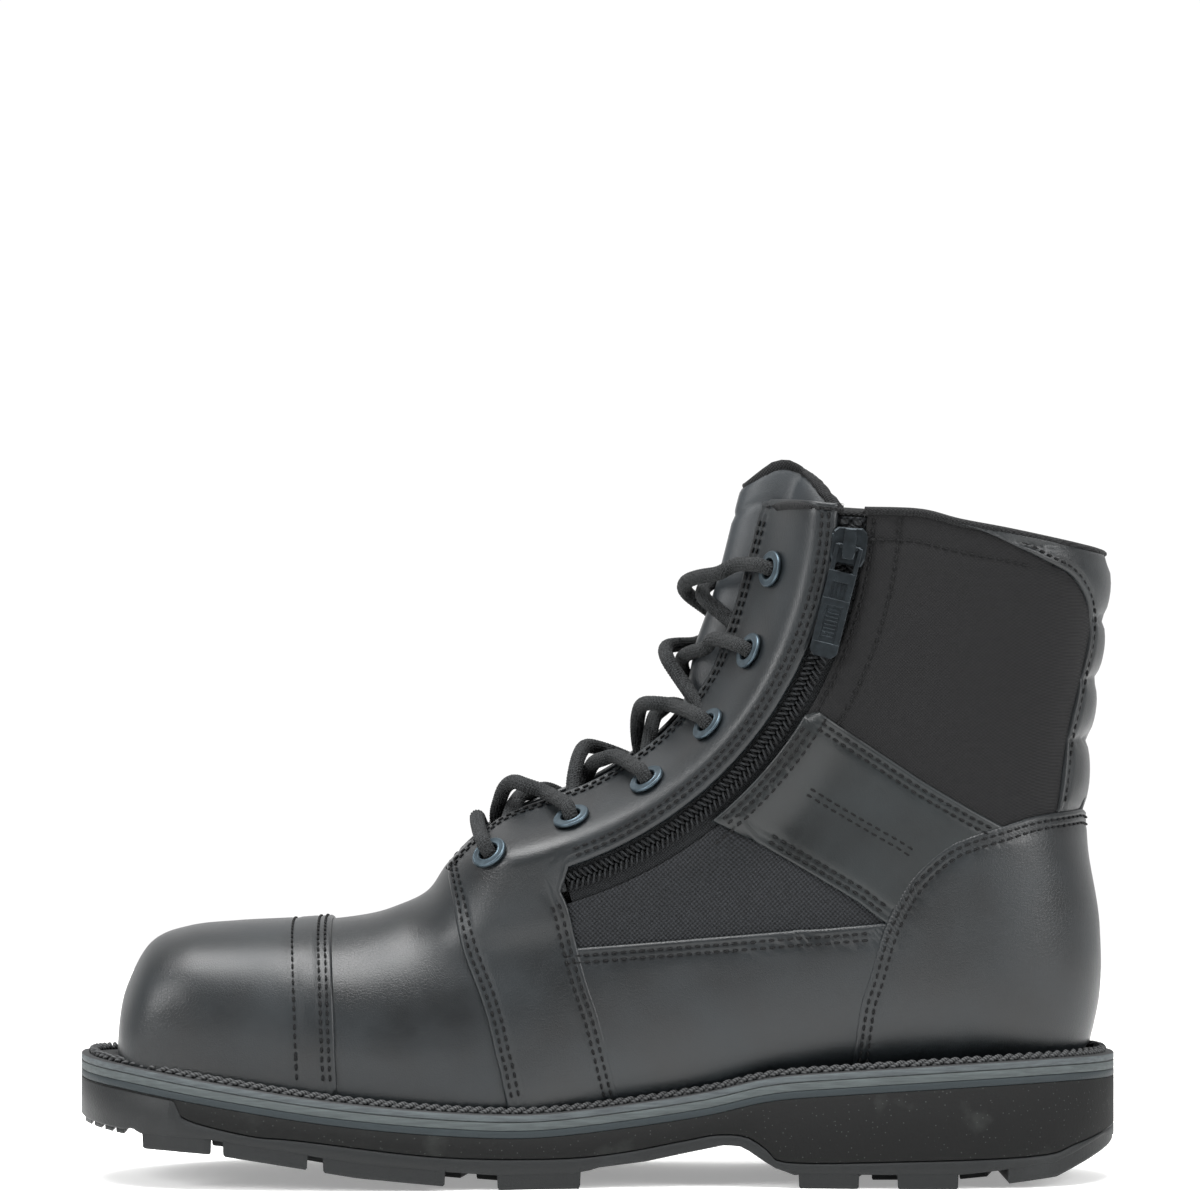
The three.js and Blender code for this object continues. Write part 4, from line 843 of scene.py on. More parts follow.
# ---------------------------------------------------------------- linings
# Napped nylon next to the foot, cut as two halves that meet at the ball of the foot, and
# the foam, felt and stiffener between it and the leather, which stay as in the frame.
lining_cloth = woven_cloth("napped_nylon_lining", "121314", "25272a", 1.1, 0.5, roughness=0.95)
LINING_HEIGHT = -4.9
for side_name, side in sides:
    off = -ZIP_WINDOW - 1.5 if side < 0 else -ZIP_WINDOW - 8
    low = side_path([(141, 44), (100, 42), (60, 38), (8, 30)], side)
    front = side_path([(8, 30), (4, 60), (-2, 84), (14, 100), (30, 118), (43, 140), (50, 170), (58, 199)],
                      side)
    top = side_path([(58, 199), (76.5, 198), (94.3, 197.2), (106, 194.4), (120.6, 191.6), (149, 185.6)], side)
    back = side_path([(149.5, 184), (147, 150), (144, 110), (141, 44)], side)
    back[:, 1] = 0.0 if side < 0 else 2 * math.pi
    piece = panel("quarter_lining_" + side_name + "_cloth", [(low, ()), (front, ()), (top, ()), (back, ())],
                  LINING_HEIGHT, 1.0, lining_cloth)
    fasten(piece, "lining", *(["quarter_lining"] if side < 0 else []))

# ---------------------------------------------------------------- tongue
# Two layers of garment-weight leather and lining over foam, bound with tape round the free
# edge. It is sunk under the eyestays and bulges up in the throat between them.
THROAT_TURN, TONGUE_SPREAD, TONGUE_SINK, INSIDE_LAST = 0.5, 0.86, 8.9, -6.1
TONGUE_TOP = [(30, 204.8), (42, 207.4), (46.5, 210.4), (50.5, 213.5), (53.8, 214.4), (58.5, 213.2),
              (63, 209.9), (66, 205.7), (70, 199), (90, 150)]
tongue_line = smooth_line(TONGUE_TOP, 6)


def tongue_face(s, u):
    """Height of the tongue's face over the last, u from -1 to 1 across it."""
    fall = smoothstep(0.46, 0.1, np.abs(u))
    settle = smoothstep(8.3, 10.5, s)
    crown = -TONGUE_SINK + 3.2 + TONGUE_SINK * smoothstep(13.8, 16.6, s)
    edge = INSIDE_LAST + (-TONGUE_SINK - INSIDE_LAST) * settle
    return edge + (INSIDE_LAST + (crown - INSIDE_LAST) * settle - edge) * fall


def tongue_end(u):
    """The station at which the tongue is cut off, for each place across it."""
    s = np.linspace(17, 21.98, 260)
    place = on_last(s, math.pi + u * TONGUE_SPREAD, tongue_face(s, u), flatten=False)
    over = place[:, 2] > np.interp(place[:, 0], tongue_line[:, 0], tongue_line[:, 1])
    return s[np.argmax(over)] if over.any() else s[-1]


def grid_faces(rows, columns):
    index = np.arange(rows * columns).reshape(rows, columns)
    return [(index[i, j], index[i + 1, j], index[i + 1, j + 1], index[i, j + 1])
            for i in range(rows - 1) for j in range(columns - 1)]


def tongue_sheet(name, top_depth, thickness, material, puff):
    """A pad with rounded edges that follows the tongue's face."""
    rows, columns = 120, 60
    across = np.linspace(-0.97, 0.97, columns)
    ends = np.array([tongue_end(u) for u in across])
    t = np.linspace(0, 1, rows)[:, None]
    s = 8.5 + (ends[None, :] - 8.5 - 0.08) * t
    u = np.tile(across, (rows, 1))
    run = np.minimum((1 - t) * 130, (0.97 - np.abs(u)) * 38)
    full = np.clip(run / 3.0, 0, 1)
    full = np.sqrt(np.clip(1 - (1 - full) ** 2, 0, 1))
    ribs = puff * np.exp(-((run - 9) / 1.0) ** 2)
    face = tongue_face(s, u)
    turn, face = math.pi + u * TONGUE_SPREAD, face - top_depth
    top = on_last(s, turn, face - thickness * 0.5 * (1 - full) - ribs, False)
    bottom = on_last(s, turn, face - thickness * (0.5 + 0.5 * full), False)
    places, everything = closed_solid(top.reshape(-1, 3), bottom.reshape(-1, 3) - 1e-4,
                                      grid_faces(rows, columns))
    return mesh_object(name, places, everything, material), top


tongue_leather = grain_leather("garment_weight_cowhide", "191d20", "272c30", 0.46, pebble=0.8)
tongue_pad, tongue_top = tongue_sheet("tongue_pad", 0.2, 3.3, tongue_leather, 0.5)
fasten(tongue_pad, "leather", "tongue")
tongue_back, _ = tongue_sheet("tongue_lining_cloth", 3.6, 1.3, lining_cloth, 0.0)
fasten(tongue_back, "lining", "tongue_lining")
edge = tongue_top[-1]
edge = np.concatenate([tongue_top[70:-1, 0], edge, tongue_top[70:-1, -1][::-1]])
normal = np.tile([-0.85, 0.0, 0.5], (len(edge), 1))
tongue_binding = sweep("tongue_binding", edge + np.array([0.6, 0, -0.6]), normal, oval(1.2, 2.3),
                       binding_cloth)
fasten(tongue_binding, "textile")

# ---------------------------------------------------------------- zip
# A coil zip set in a curve down the inner side: two nylon coils on woven tapes behind the
# leather, a stop at each end, and a cloth gusset behind it.
ZIP_TOP, ZIP_BOTTOM, COIL_PITCH = 4.2, 73.0, 1.7
tape_face = ZIP_PLANE + 2.3
coil_middle = tape_face - 1.0


def zip_place(angle, off, y):
    """Points at degrees round the zip's arc, off to its rear, at depth y."""
    a, radius = np.radians(angle), ZIP_RADIUS + np.asarray(off, float)
    return np.stack(np.broadcast_arrays(ZIP_X + radius * np.cos(a), y, ZIP_Z - radius * np.sin(a)), -1)


def zip_strip(name, start, stop, near, far, y_front, y_back, material, count=90):
    """A flat band along the zip with slightly rounded edges."""
    angle = np.linspace(start, stop, count)
    middle = zip_place(angle, (near + far) / 2, (y_front + y_back) / 2)
    half, deep = abs(far - near) / 2, (y_back - y_front) / 2
    e = min(0.25, deep * 0.6)
    profile = [(-half, -deep + e), (-half + e, -deep), (half - e, -deep), (half, -deep + e),
               (half, deep - e), (half - e, deep), (-half + e, deep), (-half, deep - e)]
    return sweep(name, middle, np.tile([0, 1.0, 0], (count, 1)), profile, material)


nylon_coil = spun_thread("moulded_nylon_coil", "0c0d0e", "1c1e20", 0.9)
tape_cloth = woven_cloth("woven_zip_tape", "0c0d0e", "1e2022", 0.5, 0.5)
for part_name, sign in (("front", -1), ("rear", 1)):
    tape = zip_strip("zip_tape_" + part_name + "_weave", ZIP_TOP, ZIP_BOTTOM, sign * 0.8, sign * 8.0,
                     tape_face, tape_face + 0.7, tape_cloth)
    fasten(tape, "zip_tape", "zip_tape_" + part_name)
    turns = int(math.radians(ZIP_BOTTOM - ZIP_TOP) * ZIP_RADIUS / COIL_PITCH)
    t = np.linspace(0, turns, turns * 12 + 1)
    angle = ZIP_TOP + (ZIP_BOTTOM - ZIP_TOP) * t / turns
    swing = 2 * math.pi * t + (0 if sign < 0 else math.pi)
    lean = np.degrees(0.30 * np.cos(swing) / ZIP_RADIUS)
    line = zip_place(angle + lean, sign * (1.35 + 1.25 * np.cos(swing)), coil_middle + 0.62 * np.sin(swing))
    coil = sweep("zip_coil_" + part_name + "_teeth", line, line - zip_place(angle, sign * 1.35, coil_middle)
                 + (0, 1e-4, 0), oval(0.36, 0.36, 6), nylon_coil)
    fasten(coil, "zip_coil", "zip_coil_" + part_name)
stop = zip_strip("zip_bottom_stop_clip", ZIP_BOTTOM + 0.2, ZIP_BOTTOM + 2.1, -2.5, 2.5, tape_face - 2.2,
                 tape_face + 0.6, nylon_coil, 8)
fasten(stop, "zip_coil", "zip_bottom_stop")
for part_name, near, far in (("front", -3.1, -0.9), ("rear", 0.9, 3.1)):
    stop = zip_strip("zip_top_stop_" + part_name + "_clip", ZIP_TOP - 0.85, ZIP_TOP - 0.2, near, far,
                     tape_face - 2.0, tape_face + 0.6, nylon_coil, 6)
    fasten(stop, "zip_coil", "zip_top_stop_" + part_name)
gusset = zip_strip("zip_gusset_cloth", ZIP_TOP - 1.5, ZIP_BOTTOM + 3, -9.2, 9.2, tape_face + 2.9,
                   tape_face + 3.9, binding_cloth)
fasten(gusset, "textile", "zip_gusset")

# ---------------------------------------------------------------- zip slider and pull
# Die-cast zinc alloy, blackened: a body on two flanges with a bridge, and a long flat pull
# with a window, a round pin in the bridge and two ribbed recesses.
def blackened_metal(name, dark, light, roughness):
    """Cast zinc with a thin black finish: even, slightly grainy, brighter where handled."""
    made, tree, place = patterned(name)
    cloud = noise(tree, place, 2.5, 5.0)
    worn = node(tree, "ShaderNodeMapRange", {"Value": cloud}, To_Min=roughness + 0.08,
                To_Max=roughness - 0.08)
    return shaded(made, {"Base Color": tones(tree, cloud, dark, light, 0.35, 0.75),
                         "Roughness": worn.outputs[0], "Normal": relief_of(tree, cloud, 0.15, 0.2)},
                  Metallic=0.85)


def shaped_block(corners, y_front, y_back, bevel, frame_of):
    """Vertices and faces of a flat outline with bevelled front and back edges."""
    outline = np.asarray(corners, float)
    middle = outline.mean(0)
    away = outline - middle
    small = middle + away * (1 - bevel / (np.abs(away).max(0) + 1e-9))
    rings = [(small, y_front), (outline, y_front + bevel), (outline, y_back - bevel), (small, y_back)]
    places = np.concatenate([frame_of(ring[:, 0], ring[:, 1], y) for ring, y in rings])
    return places, ring_faces(4, len(outline))


def joined(name, parts, material, body, slot, *nodes):
    """One object from several closed shapes."""
    places, faces, start = [], [], 0
    for part_places, part_faces in parts:
        places.append(part_places)
        faces += [tuple(i + start for i in face) for face in part_faces]
        start += len(part_places)
    piece = mesh_object(name, np.concatenate(places), faces, material, smooth=False)
    return fasten(piece, slot, *nodes, body=body)


SLIDER_AT = 7.2
slider_metal = blackened_metal("blackened_zinc_casting", "24282b", "33393d", 0.30)
per_mm = math.degrees(1 / ZIP_RADIUS)


def on_zip(across, down, y):
    return zip_place(SLIDER_AT + down * per_mm, across, np.full(len(across), y))


plate_back = tape_face - 2.4
plate_face = plate_back - 1.4
body_outline = [(-3.6, -5.6), (3.6, -5.6), (4.9, -4.4), (5.3, -1), (5.1, 3.2), (4.3, 5.4), (-4.3, 5.4),
                (-5.1, 3.2), (-5.3, -1), (-4.9, -4.4)]
slider_parts = [shaped_block(body_outline, plate_face, plate_back, 0.45, on_zip)]
for sign in (-1, 1):
    rail = [(sign * 4.2, -4.0), (sign * 5.3, -3.4), (sign * 5.2, 3.4), (sign * 4.2, 4.6)][::sign]
    slider_parts.append(shaped_block(rail, plate_face + 0.3, plate_back + 1.1, 0.2, on_zip))
for down in (-4.6, 2.8):
    foot = [(-1.7, down - 0.7), (1.7, down - 0.7), (1.7, down + 0.9), (-1.7, down + 0.9)]
    slider_parts.append(shaped_block(foot, plate_face - 3.2, plate_face + 0.2, 0.2, on_zip))
bridge = [(-1.7, -5.3), (1.7, -5.3), (1.9, -3), (1.9, 2), (1.5, 3.7), (-1.5, 3.7), (-1.9, 2), (-1.9, -3)]
slider_parts.append(shaped_block(bridge, plate_face - 3.4, plate_face - 2.3, 0.3, on_zip))
post = [(-0.45, -5.4), (0.45, -5.4), (0.45, -2.4), (-0.45, -2.4)]
slider_parts.append(shaped_block(post, plate_back - 0.2, tape_face + 1.2, 0.1, on_zip))
under = [(-3.6, -5.4), (3.6, -5.4), (3.6, 5.2), (-3.6, 5.2)]
slider_parts.append(shaped_block(under, tape_face + 1.05, tape_face + 1.85, 0.2, on_zip))
joined("zip_slider_casting", slider_parts, slider_metal, "slider", "slider_metal", "zip_slider")

PULL_SLANT, PULL_LENGTH, PULL_HALF = math.radians(14), 33.0, 4.1
pin = zip_place(SLIDER_AT + 0.275 * per_mm, 0.0, (plate_face * 2 - 2.4) / 2)


def on_pull(across, down, y):
    """The pull's own frame: across it, down it from the pin, and its depth."""
    x = across * math.cos(PULL_SLANT) - down * math.sin(PULL_SLANT)
    z = -across * math.sin(PULL_SLANT) - down * math.cos(PULL_SLANT)
    return np.stack([pin[0] + x, np.full(len(x), pin[1] + y), pin[2] + z], 1)


def bar(x0, x1, top, bottom, y0=-0.8, y1=0.8, bevel=0.2):
    return shaped_block([(x0, top), (x1, top), (x1, bottom), (x0, bottom)], y0, y1, bevel, on_pull)


w, end = PULL_HALF, PULL_LENGTH
parts = [bar(-w + 0.6, w - 0.6, -0.7, 0.7, -0.65, 0.65, 0.3), bar(-w, -2.7, -0.4, 8.2),
         bar(2.7, w, -0.4, 8.2), bar(-w - 0.05, w + 0.05, 7.4, 10.6, -0.88, 0.88), bar(-w, -2.2, 10.0, 29.5),
         bar(2.2, w, 10.0, 29.5), bar(-w - 0.05, w + 0.05, 15.6, 17.8, -0.88, 0.88),
         shaped_block([(-w, 28.6), (w, 28.6), (w, 31.4), (w - 1.5, end), (-w + 1.5, end), (-w, 31.4)],
                      -0.86, 0.86, 0.2, on_pull),
         bar(-2.4, 2.4, 10.0, 29.0, -0.3, 0.5, 0.05)]
parts += [bar(-1.9, 1.9, down, down + 0.55, -0.7, 0.0, 0.12) for down in np.arange(18.6, 27.8, 1.15)]
parts += [bar(x, x + 0.7, 10.9, 15.0, -0.7, 0.0, 0.12) for x in (-1.6, -0.35, 0.9)]
joined("zip_pull_tab", parts, slider_metal, "pull", "slider_metal", "zip_pull")

# ---------------------------------------------------------------- eyelets
# Twelve two-part brass eyelets with a blue-grey enamel finish, pressed through the eyestays
# from outside. Each has a ring of fine raised ticks on its flange.
EYELETS = [(-31.4, 97.3), (-7.5, 107.6), (14.9, 118.7), (33.1, 135.2), (45.4, 157), (51.9, 181.3)]
eyelet_s, eyelet_turn = locate(EYELETS)
eyelet_enamel = blackened_metal("enamelled_brass_eyelet", "39444b", "4b5860", 0.40)
eyelet_frames = {}
for side_name, side in sides:
    turns = eyelet_turn if side < 0 else 2 * math.pi - eyelet_turn
    path = np.stack([eyelet_s, turns], 1)
    ds, da = slopes(path)
    normals = np.cross(ds, da)
    normals /= np.linalg.norm(normals, axis=1)[:, None]
    normals *= np.sign(normals[:, 1] * side)[:, None]
    places = on_last(eyelet_s, turns)
    eyelet_frames[side_name] = [
        {"s": s, "turn": turn, "at": place, "normal": normal}
        for s, turn, place, normal in zip(eyelet_s, turns, places, normals)]


def revolved(profile, count, centre, axis, ticks=None):
    """A ring turned round an axis. The profile is (radius, height) pairs, closed on itself."""
    side_way = np.cross(axis, (0.0, 0.0, 1.0))
    side_way /= np.linalg.norm(side_way)
    up_way = np.cross(side_way, axis)
    places = []
    for n in range(count):
        a = 2 * math.pi * n / count
        ray = side_way * math.cos(a) + up_way * math.sin(a)
        for radius, height in profile:
            lift = ticks if ticks and n % 2 and 3.75 < radius < 4.8 and height > 1 else 0.0
            places.append(centre + ray * radius + axis * (height + lift))
    return np.array(places), tube_faces(count, len(profile), True)


EYELET_PROFILE = [(2.85, -2.4), (2.85, 1.5), (2.95, 1.85), (3.2, 2.1), (3.5, 2.15), (3.65, 2.02), (3.8, 1.96),
                  (4.7, 1.90), (4.85, 1.96), (5.0, 2.02), (5.3, 1.9), (5.5, 1.6), (5.5, 0.9), (3.5, 0.7),
                  (3.4, -2.4)]
for side_name, side in sides:
    for i, spot in enumerate(eyelet_frames[side_name]):
        places, faces = revolved(EYELET_PROFILE, 64, spot["at"], spot["normal"], ticks=0.09)
        piece = mesh_object(f"eyelet_{side_name}_{i + 1}_ring", places, faces, eyelet_enamel)
        fasten(piece, "eyelet_metal", f"eyelet_{side_name}_{i + 1}")

# ---------------------------------------------------------------- lacing
# One round braided polyester lace, laid criss-cross from a bar over the bottom pair of
# eyelets, as two halves. Each crossing comes from under one eyestay and enters the next
# eyelet from outside, and both ends are tucked behind the tongue's edges.
LACE_RADIUS, BRAID_STRANDS, BRAID_PITCH = 2.2, 8, 15.0
ON_LEATHER, ON_FLANGE, UNDER = 2.9, 4.0, -5.2


def near_eyelet(spot, share, h, stations=0.0):
    turn = spot["turn"] + share * (math.pi - spot["turn"])
    return on_last(spot["s"] + stations, turn, h)


def through_eyelet(spot):
    """A half circle over the edge of the leather and down through the hole."""
    radius, centre = (ON_FLANGE - UNDER) / 2, (ON_FLANGE + UNDER) / 2
    inward = near_eyelet(spot, 0.12, 0) - spot["at"]
    inward = inward - spot["normal"] * (inward @ spot["normal"])
    inward /= np.linalg.norm(inward)
    return [spot["at"] + spot["normal"] * (centre - radius * math.sin(a))
            + inward * radius * (1 - math.cos(a))
            for a in np.radians([-75, -45, -15, 15, 45, 75])]


def crossing_height(s, u, over):
    climb = UNDER + (ON_LEATHER + 0.2 - UNDER) * float(smoothstep(-0.75, 0.75, -u))
    face = float(tongue_face(np.array(s), np.array(u * THROAT_TURN))) + LACE_RADIUS + 0.6
    return max(climb, face) + ((2 * LACE_RADIUS + 1.4) * (1 - u * u) if over else 0.0)


def lace_route(first, over):
    order = [first, "outer" if first == "inner" else "inner"]
    sign = {"inner": -1, "outer": 1}
    bar = eyelet_frames[first][0]
    points = [on_last(bar["s"], math.pi, ON_LEATHER) + (0, 0.3 * sign[first], 0),
              near_eyelet(bar, 0.65, ON_LEATHER + 0.2), near_eyelet(bar, 0.4, ON_LEATHER + 0.4)]
    for level in range(6):
        side = order[level % 2]
        here = eyelet_frames[side][level]
        points += through_eyelet(here)
        if level == 5:
            points += [near_eyelet(here, 0.42, UNDER, -0.3), near_eyelet(here, 0.42, UNDER, -0.8)]
            break
        following = eyelet_frames[order[(level + 1) % 2]][level + 1]
        for t in (0.28, 0.39, 0.5, 0.61, 0.72):
            s = here["s"] + 0.1 + (following["s"] - 0.5 - here["s"]) * (t - 0.2) / 0.6
            turn = here["turn"] + (following["turn"] - here["turn"]) * t
            u = sign[side] * (turn - math.pi) / (THROAT_TURN * TONGUE_SPREAD)
            points.append(on_last(s, turn, crossing_height(s, u, over)))
        points.append(near_eyelet(following, 0.4, ON_FLANGE - 0.3, -0.25))
    return np.array(points)


def even_steps(line, spacing):
    run = np.concatenate([[0], np.cumsum(np.linalg.norm(np.diff(line, axis=0), axis=1))])
    at = np.linspace(0, run[-1], int(run[-1] / spacing) + 1)
    return np.stack([np.interp(at, run, line[:, k]) for k in range(3)], 1), at


def braided_cord(name, points, radius, material):
    """A round cord whose surface carries a diamond braid."""
    line, run = even_steps(smooth_line(points, 14), 0.36)
    for _ in range(10):
        line[1:-1] = 0.25 * line[:-2] + 0.5 * line[1:-1] + 0.25 * line[2:]
    along = np.gradient(line, axis=0)
    along /= np.linalg.norm(along, axis=1)[:, None]
    ray = np.cross(along[0], (0.0, 0.0, 1.0))
    places, count = [], 48
    for centre, forward, distance in zip(line, along, run):
        ray = ray - forward * (ray @ forward)
        ray /= np.linalg.norm(ray)
        other = np.cross(forward, ray)
        a = np.arange(count) * 2 * math.pi / count
        phase = distance * 2 * math.pi / BRAID_PITCH
        left = np.sin(BRAID_STRANDS / 2 * (a + phase)) ** 2
        right = np.sin(BRAID_STRANDS / 2 * (a - phase)) ** 2
        bump = np.maximum(left * (1 - 0.6 * right), right * (1 - 0.6 * left))
        width = (radius - 0.42 + 0.55 * bump)[:, None]
        places.append(centre + width * (np.cos(a)[:, None] * ray + np.sin(a)[:, None] * other))
    return mesh_object(name, np.concatenate(places), ring_faces(len(places), count), material)


lace_yarn = woven_cloth("braided_polyester_lace", "0e0f10", "2b2d2e", 0.6, 0.5, roughness=0.85)
for side_name, over in (("inner", False), ("outer", True)):
    cord = braided_cord(f"lace_{side_name}_half_braid", lace_route(side_name, over), LACE_RADIUS, lace_yarn)
    fasten(cord, "lace_cord", f"lace_{side_name}_half")

# ---------------------------------------------------------------- welt and midsoles
# The upper is stitched to a welt strip, and a leatherboard midsole and a rubber slip sole
# are glued below it. Their edges are ground flush together, which leaves a pale fibrous band.
SOLE_EDGE = [(-154.2, -8), (-151, -24), (-143, -37), (-128, -47), (-105, -52.3), (-80, -53.4), (-50, -51.8),
             (-20, -46.5), (5, -42.6), (27, -41), (52, -42.5), (80, -45.2), (105, -45.8), (126, -42),
             (142, -33), (151, -20), (154.2, -6), (152.5, 6), (146, 18), (133, 28), (112, 34), (85, 36),
             (55, 37.5), (25, 40), (-5, 45), (-35, 50.5), (-65, 53.4), (-92, 51.5), (-115, 45), (-133, 34),
             (-146, 19), (-152.8, 5)]
sole_edge = smooth_line(SOLE_EDGE, 10, closed=True)


def inset_edge(distance):
    """The sole edge moved inwards."""
    along = np.roll(sole_edge, -1, 0) - np.roll(sole_edge, 1, 0)
    along /= np.linalg.norm(along, axis=1)[:, None]
    return sole_edge + np.stack([-along[:, 1], along[:, 0]], 1) * distance


def sole_layer(name, top, bottom, edge, material, hollow=0.0, smooth=True):
    """A layer of the sole between two heights, with the given edge of (inset, share, lift)."""
    rings = []
    for inset, share, lift in edge:
        ring = inset_edge(inset)
        z = bottom(ring[:, 0]) * (1 - share) + top(ring[:, 0]) * share + lift
        rings.append(np.column_stack([ring, z]))
    n = len(sole_edge)
    faces = ring_faces(len(rings), n, capped=False)
    if hollow:
        faces += [((len(rings) - 1) * n + k, (len(rings) - 1) * n + (k + 1) % n, (k + 1) % n, k)
                  for k in range(n)]
        return mesh_object(name, np.concatenate(rings), faces, material, smooth)
    grid = np.stack(np.meshgrid(np.arange(-152, 153, 4.0), np.arange(-54, 55, 6.0)), -1).reshape(-1, 2)
    grid = grid[inside(grid, inset_edge(edge[0][0] + 2.5))]
    flat = np.concatenate([inset_edge(edge[0][0]), grid])
    made = geometry.delaunay_2d_cdt([Vector(p) for p in flat.tolist()], [(i, (i + 1) % n) for i in range(n)],
                                    [], 1, 1e-6)
    source = [group[0] for group in made[3]]
    for ring, height, flip in ((0, bottom, True), (len(rings) - 1, top, False)):
        base = sum(len(r) for r in rings)
        rings.append(np.column_stack([grid, height(grid[:, 0])]))
        for face in made[2]:
            ids = [ring * n + source[i] if source[i] < n else base + source[i] - n for i in face]
            faces.append(tuple(ids[::-1] if flip else ids))
    return mesh_object(name, np.concatenate(rings), faces, material, smooth)


def ground_board(name, dark, light, top_colour):
    """Leather fibre board: a ground edge with fine streaks along it and a dyed upper face."""
    made, tree, place = patterned(name)
    long_way = node(tree, "ShaderNodeMapping", {"Vector": place}, Scale=(0.12, 0.5, 1.6)).outputs[0]
    streak = noise(tree, long_way, 1.1, 5.0)
    facing = node(tree, "ShaderNodeNewGeometry")
    upward = node(tree, "ShaderNodeSeparateXYZ", {0: facing.outputs["Normal"]}).outputs[2]
    dyed = node(tree, "ShaderNodeMapRange", {"Value": upward}, From_Min=0.35, From_Max=0.7)
    colour = blended(tree, dyed.outputs[0], tones(tree, streak, dark, light, 0.3, 0.72), top_colour)
    return shaded(made, {"Base Color": colour, "Normal": relief_of(tree, streak, 0.4, 0.3)}, Roughness=0.75)


def moulded(name, base, fleck, roughness, grit, flecks=0.0):
    """Moulded rubber or foam: a fine matt grit, and pale flecks where the compound has them."""
    made, tree, place = patterned(name)
    cells = node(tree, "ShaderNodeTexVoronoi", {"Vector": place}, Scale=1000 / 1.5)
    near = node(tree, "ShaderNodeMapRange", {"Value": cells.outputs["Distance"]}, From_Min=0.10,
                From_Max=0.20, To_Min=flecks, To_Max=0.0)
    dust = sums(tree, "MAXIMUM", near.outputs[0], noise(tree, place, 14, 5.0))
    share = node(tree, "ShaderNodeMapRange", {"Value": dust}, From_Min=0.6, From_Max=1.2)
    return shaded(made, {"Base Color": blended(tree, share.outputs[0], base, fleck),
                         "Normal": relief_of(tree, noise(tree, place, grit, 3.0), 0.35, 0.3)},
                  Roughness=roughness, IOR=1.33)


def layer_edge(bevel):
    return [(bevel, 0, 0), (0, 0, bevel), (0, 1, -bevel), (bevel, 1, 0)]


welt_board = ground_board("ground_welt_strip", "2b3033", "41484a", "121416")
midsole_board = ground_board("ground_leatherboard", "2a3031", "3c4344", "222626")
slip_rubber = moulded("grey_slip_sole_rubber", "1d2427", "3b454a", 0.6, 0.5)
welt = sole_layer("welt_strip", welt_height, lambda x: welt_height(x) - 2.25,
                  [(13, 0, 0)] + layer_edge(0.35) + [(13, 1, 0)], welt_board, hollow=13)
board = sole_layer("leatherboard_layer", lambda x: welt_height(x) - 2.3, lambda x: welt_height(x) - 4.7,
                   layer_edge(0.15), midsole_board)
slip = sole_layer("slip_sole_layer", lambda x: welt_height(x) - 4.75, lambda x: welt_height(x) - 6.95,
                  layer_edge(0.25), slip_rubber)
for piece, old, slot in ((welt, "welt", "leatherboard"), (board, "leatherboard_midsole", "leatherboard"),
                         (slip, "slip_sole", "rubber")):
    fasten(piece, slot, old)

# ---------------------------------------------------------------- midsole wedge
# A light EVA foam wedge, thick under the heel and running out towards the toe, with pale
# flecks of regrind in it.
RUBBER_TOP = [(-123.6, 25.8), (-120.4, 21), (-101.3, 16.4), (-86.4, 15), (-46, 10.1), (-12.2, 9.1),
              (7, 10.7), (24.6, 13.9), (35.3, 15.8), (43.9, 15.1), (49.5, 11.5), (56, 7.8), (90, 8.3),
              (129.6, 9.7), (140.7, 12.6), (160, 18.6)]
rubber_line = smooth_line(RUBBER_TOP, 8)


def rubber_height(x):
    return np.interp(x, rubber_line[:, 0], rubber_line[:, 1])


def wedge_under(x):
    return np.where(x < -123.0, welt_height(x) - 7.3, np.minimum(rubber_height(x), welt_height(x) - 7.3))


flecked_eva = moulded("flecked_eva_foam", "080909", "3c3f3d", 0.85, 0.8, flecks=1.0)
wedge = sole_layer("midsole_wedge_foam", lambda x: welt_height(x) - 7.0, wedge_under, layer_edge(0.1),
                   flecked_eva)
fasten(wedge, "eva", "midsole_wedge")

# ---------------------------------------------------------------- outsole
# Moulded nitrile rubber: a plate that rises at the toe as a bumper, with deep square lugs
# round the edge, smaller ones in the middle field, and a plain arch in front of the heel.
TREAD = [(-154.3, 18.5), (-137, 16), (-133.4, 11.9), (-112, 10.6), (-86, 6.6), (-69.8, 3.9), (-46.7, 1.6),
         (-28.3, 0), (-5.5, 0), (-1.9, 5.9), (14, 7.8), (37.4, 12.6), (42.4, 12.1), (51.6, 6), (56.9, 4.3),
         (58.7, 0), (105.5, 0), (119.7, 1.4), (134.7, 3), (154.3, 11.7)]
LUGS = [(-133.4, -112.7), (-109.4, -84.5), (-80.2, -44.5), (-29.5, -5.0), (58.7, 76.5), (87.5, 105.5)]
LUG_DEPTH = 4.2
tread_line = np.array(TREAD)


def tread_height(x):
    return np.interp(x, tread_line[:, 0], tread_line[:, 1])


def plate_under(x):
    """The underside of the plate: above the lugs, and down to the arch itself."""
    lugs = np.interp(x, [-139, -133, -5, -2.5, 57, 59, 150, 154], [0.8, LUG_DEPTH, LUG_DEPTH, 0, 0, LUG_DEPTH,
                                                                LUG_DEPTH, 1.0])
    return tread_height(x) + lugs


def plate_top(x):
    return np.where(x < -123.6, welt_height(x) - 7.2, rubber_height(x) - 0.2)


nitrile = moulded("moulded_nitrile_rubber", "131516", "272a2b", 0.55, 0.6)
plate = sole_layer("outsole_plate", plate_top, plate_under, layer_edge(0.5), nitrile)


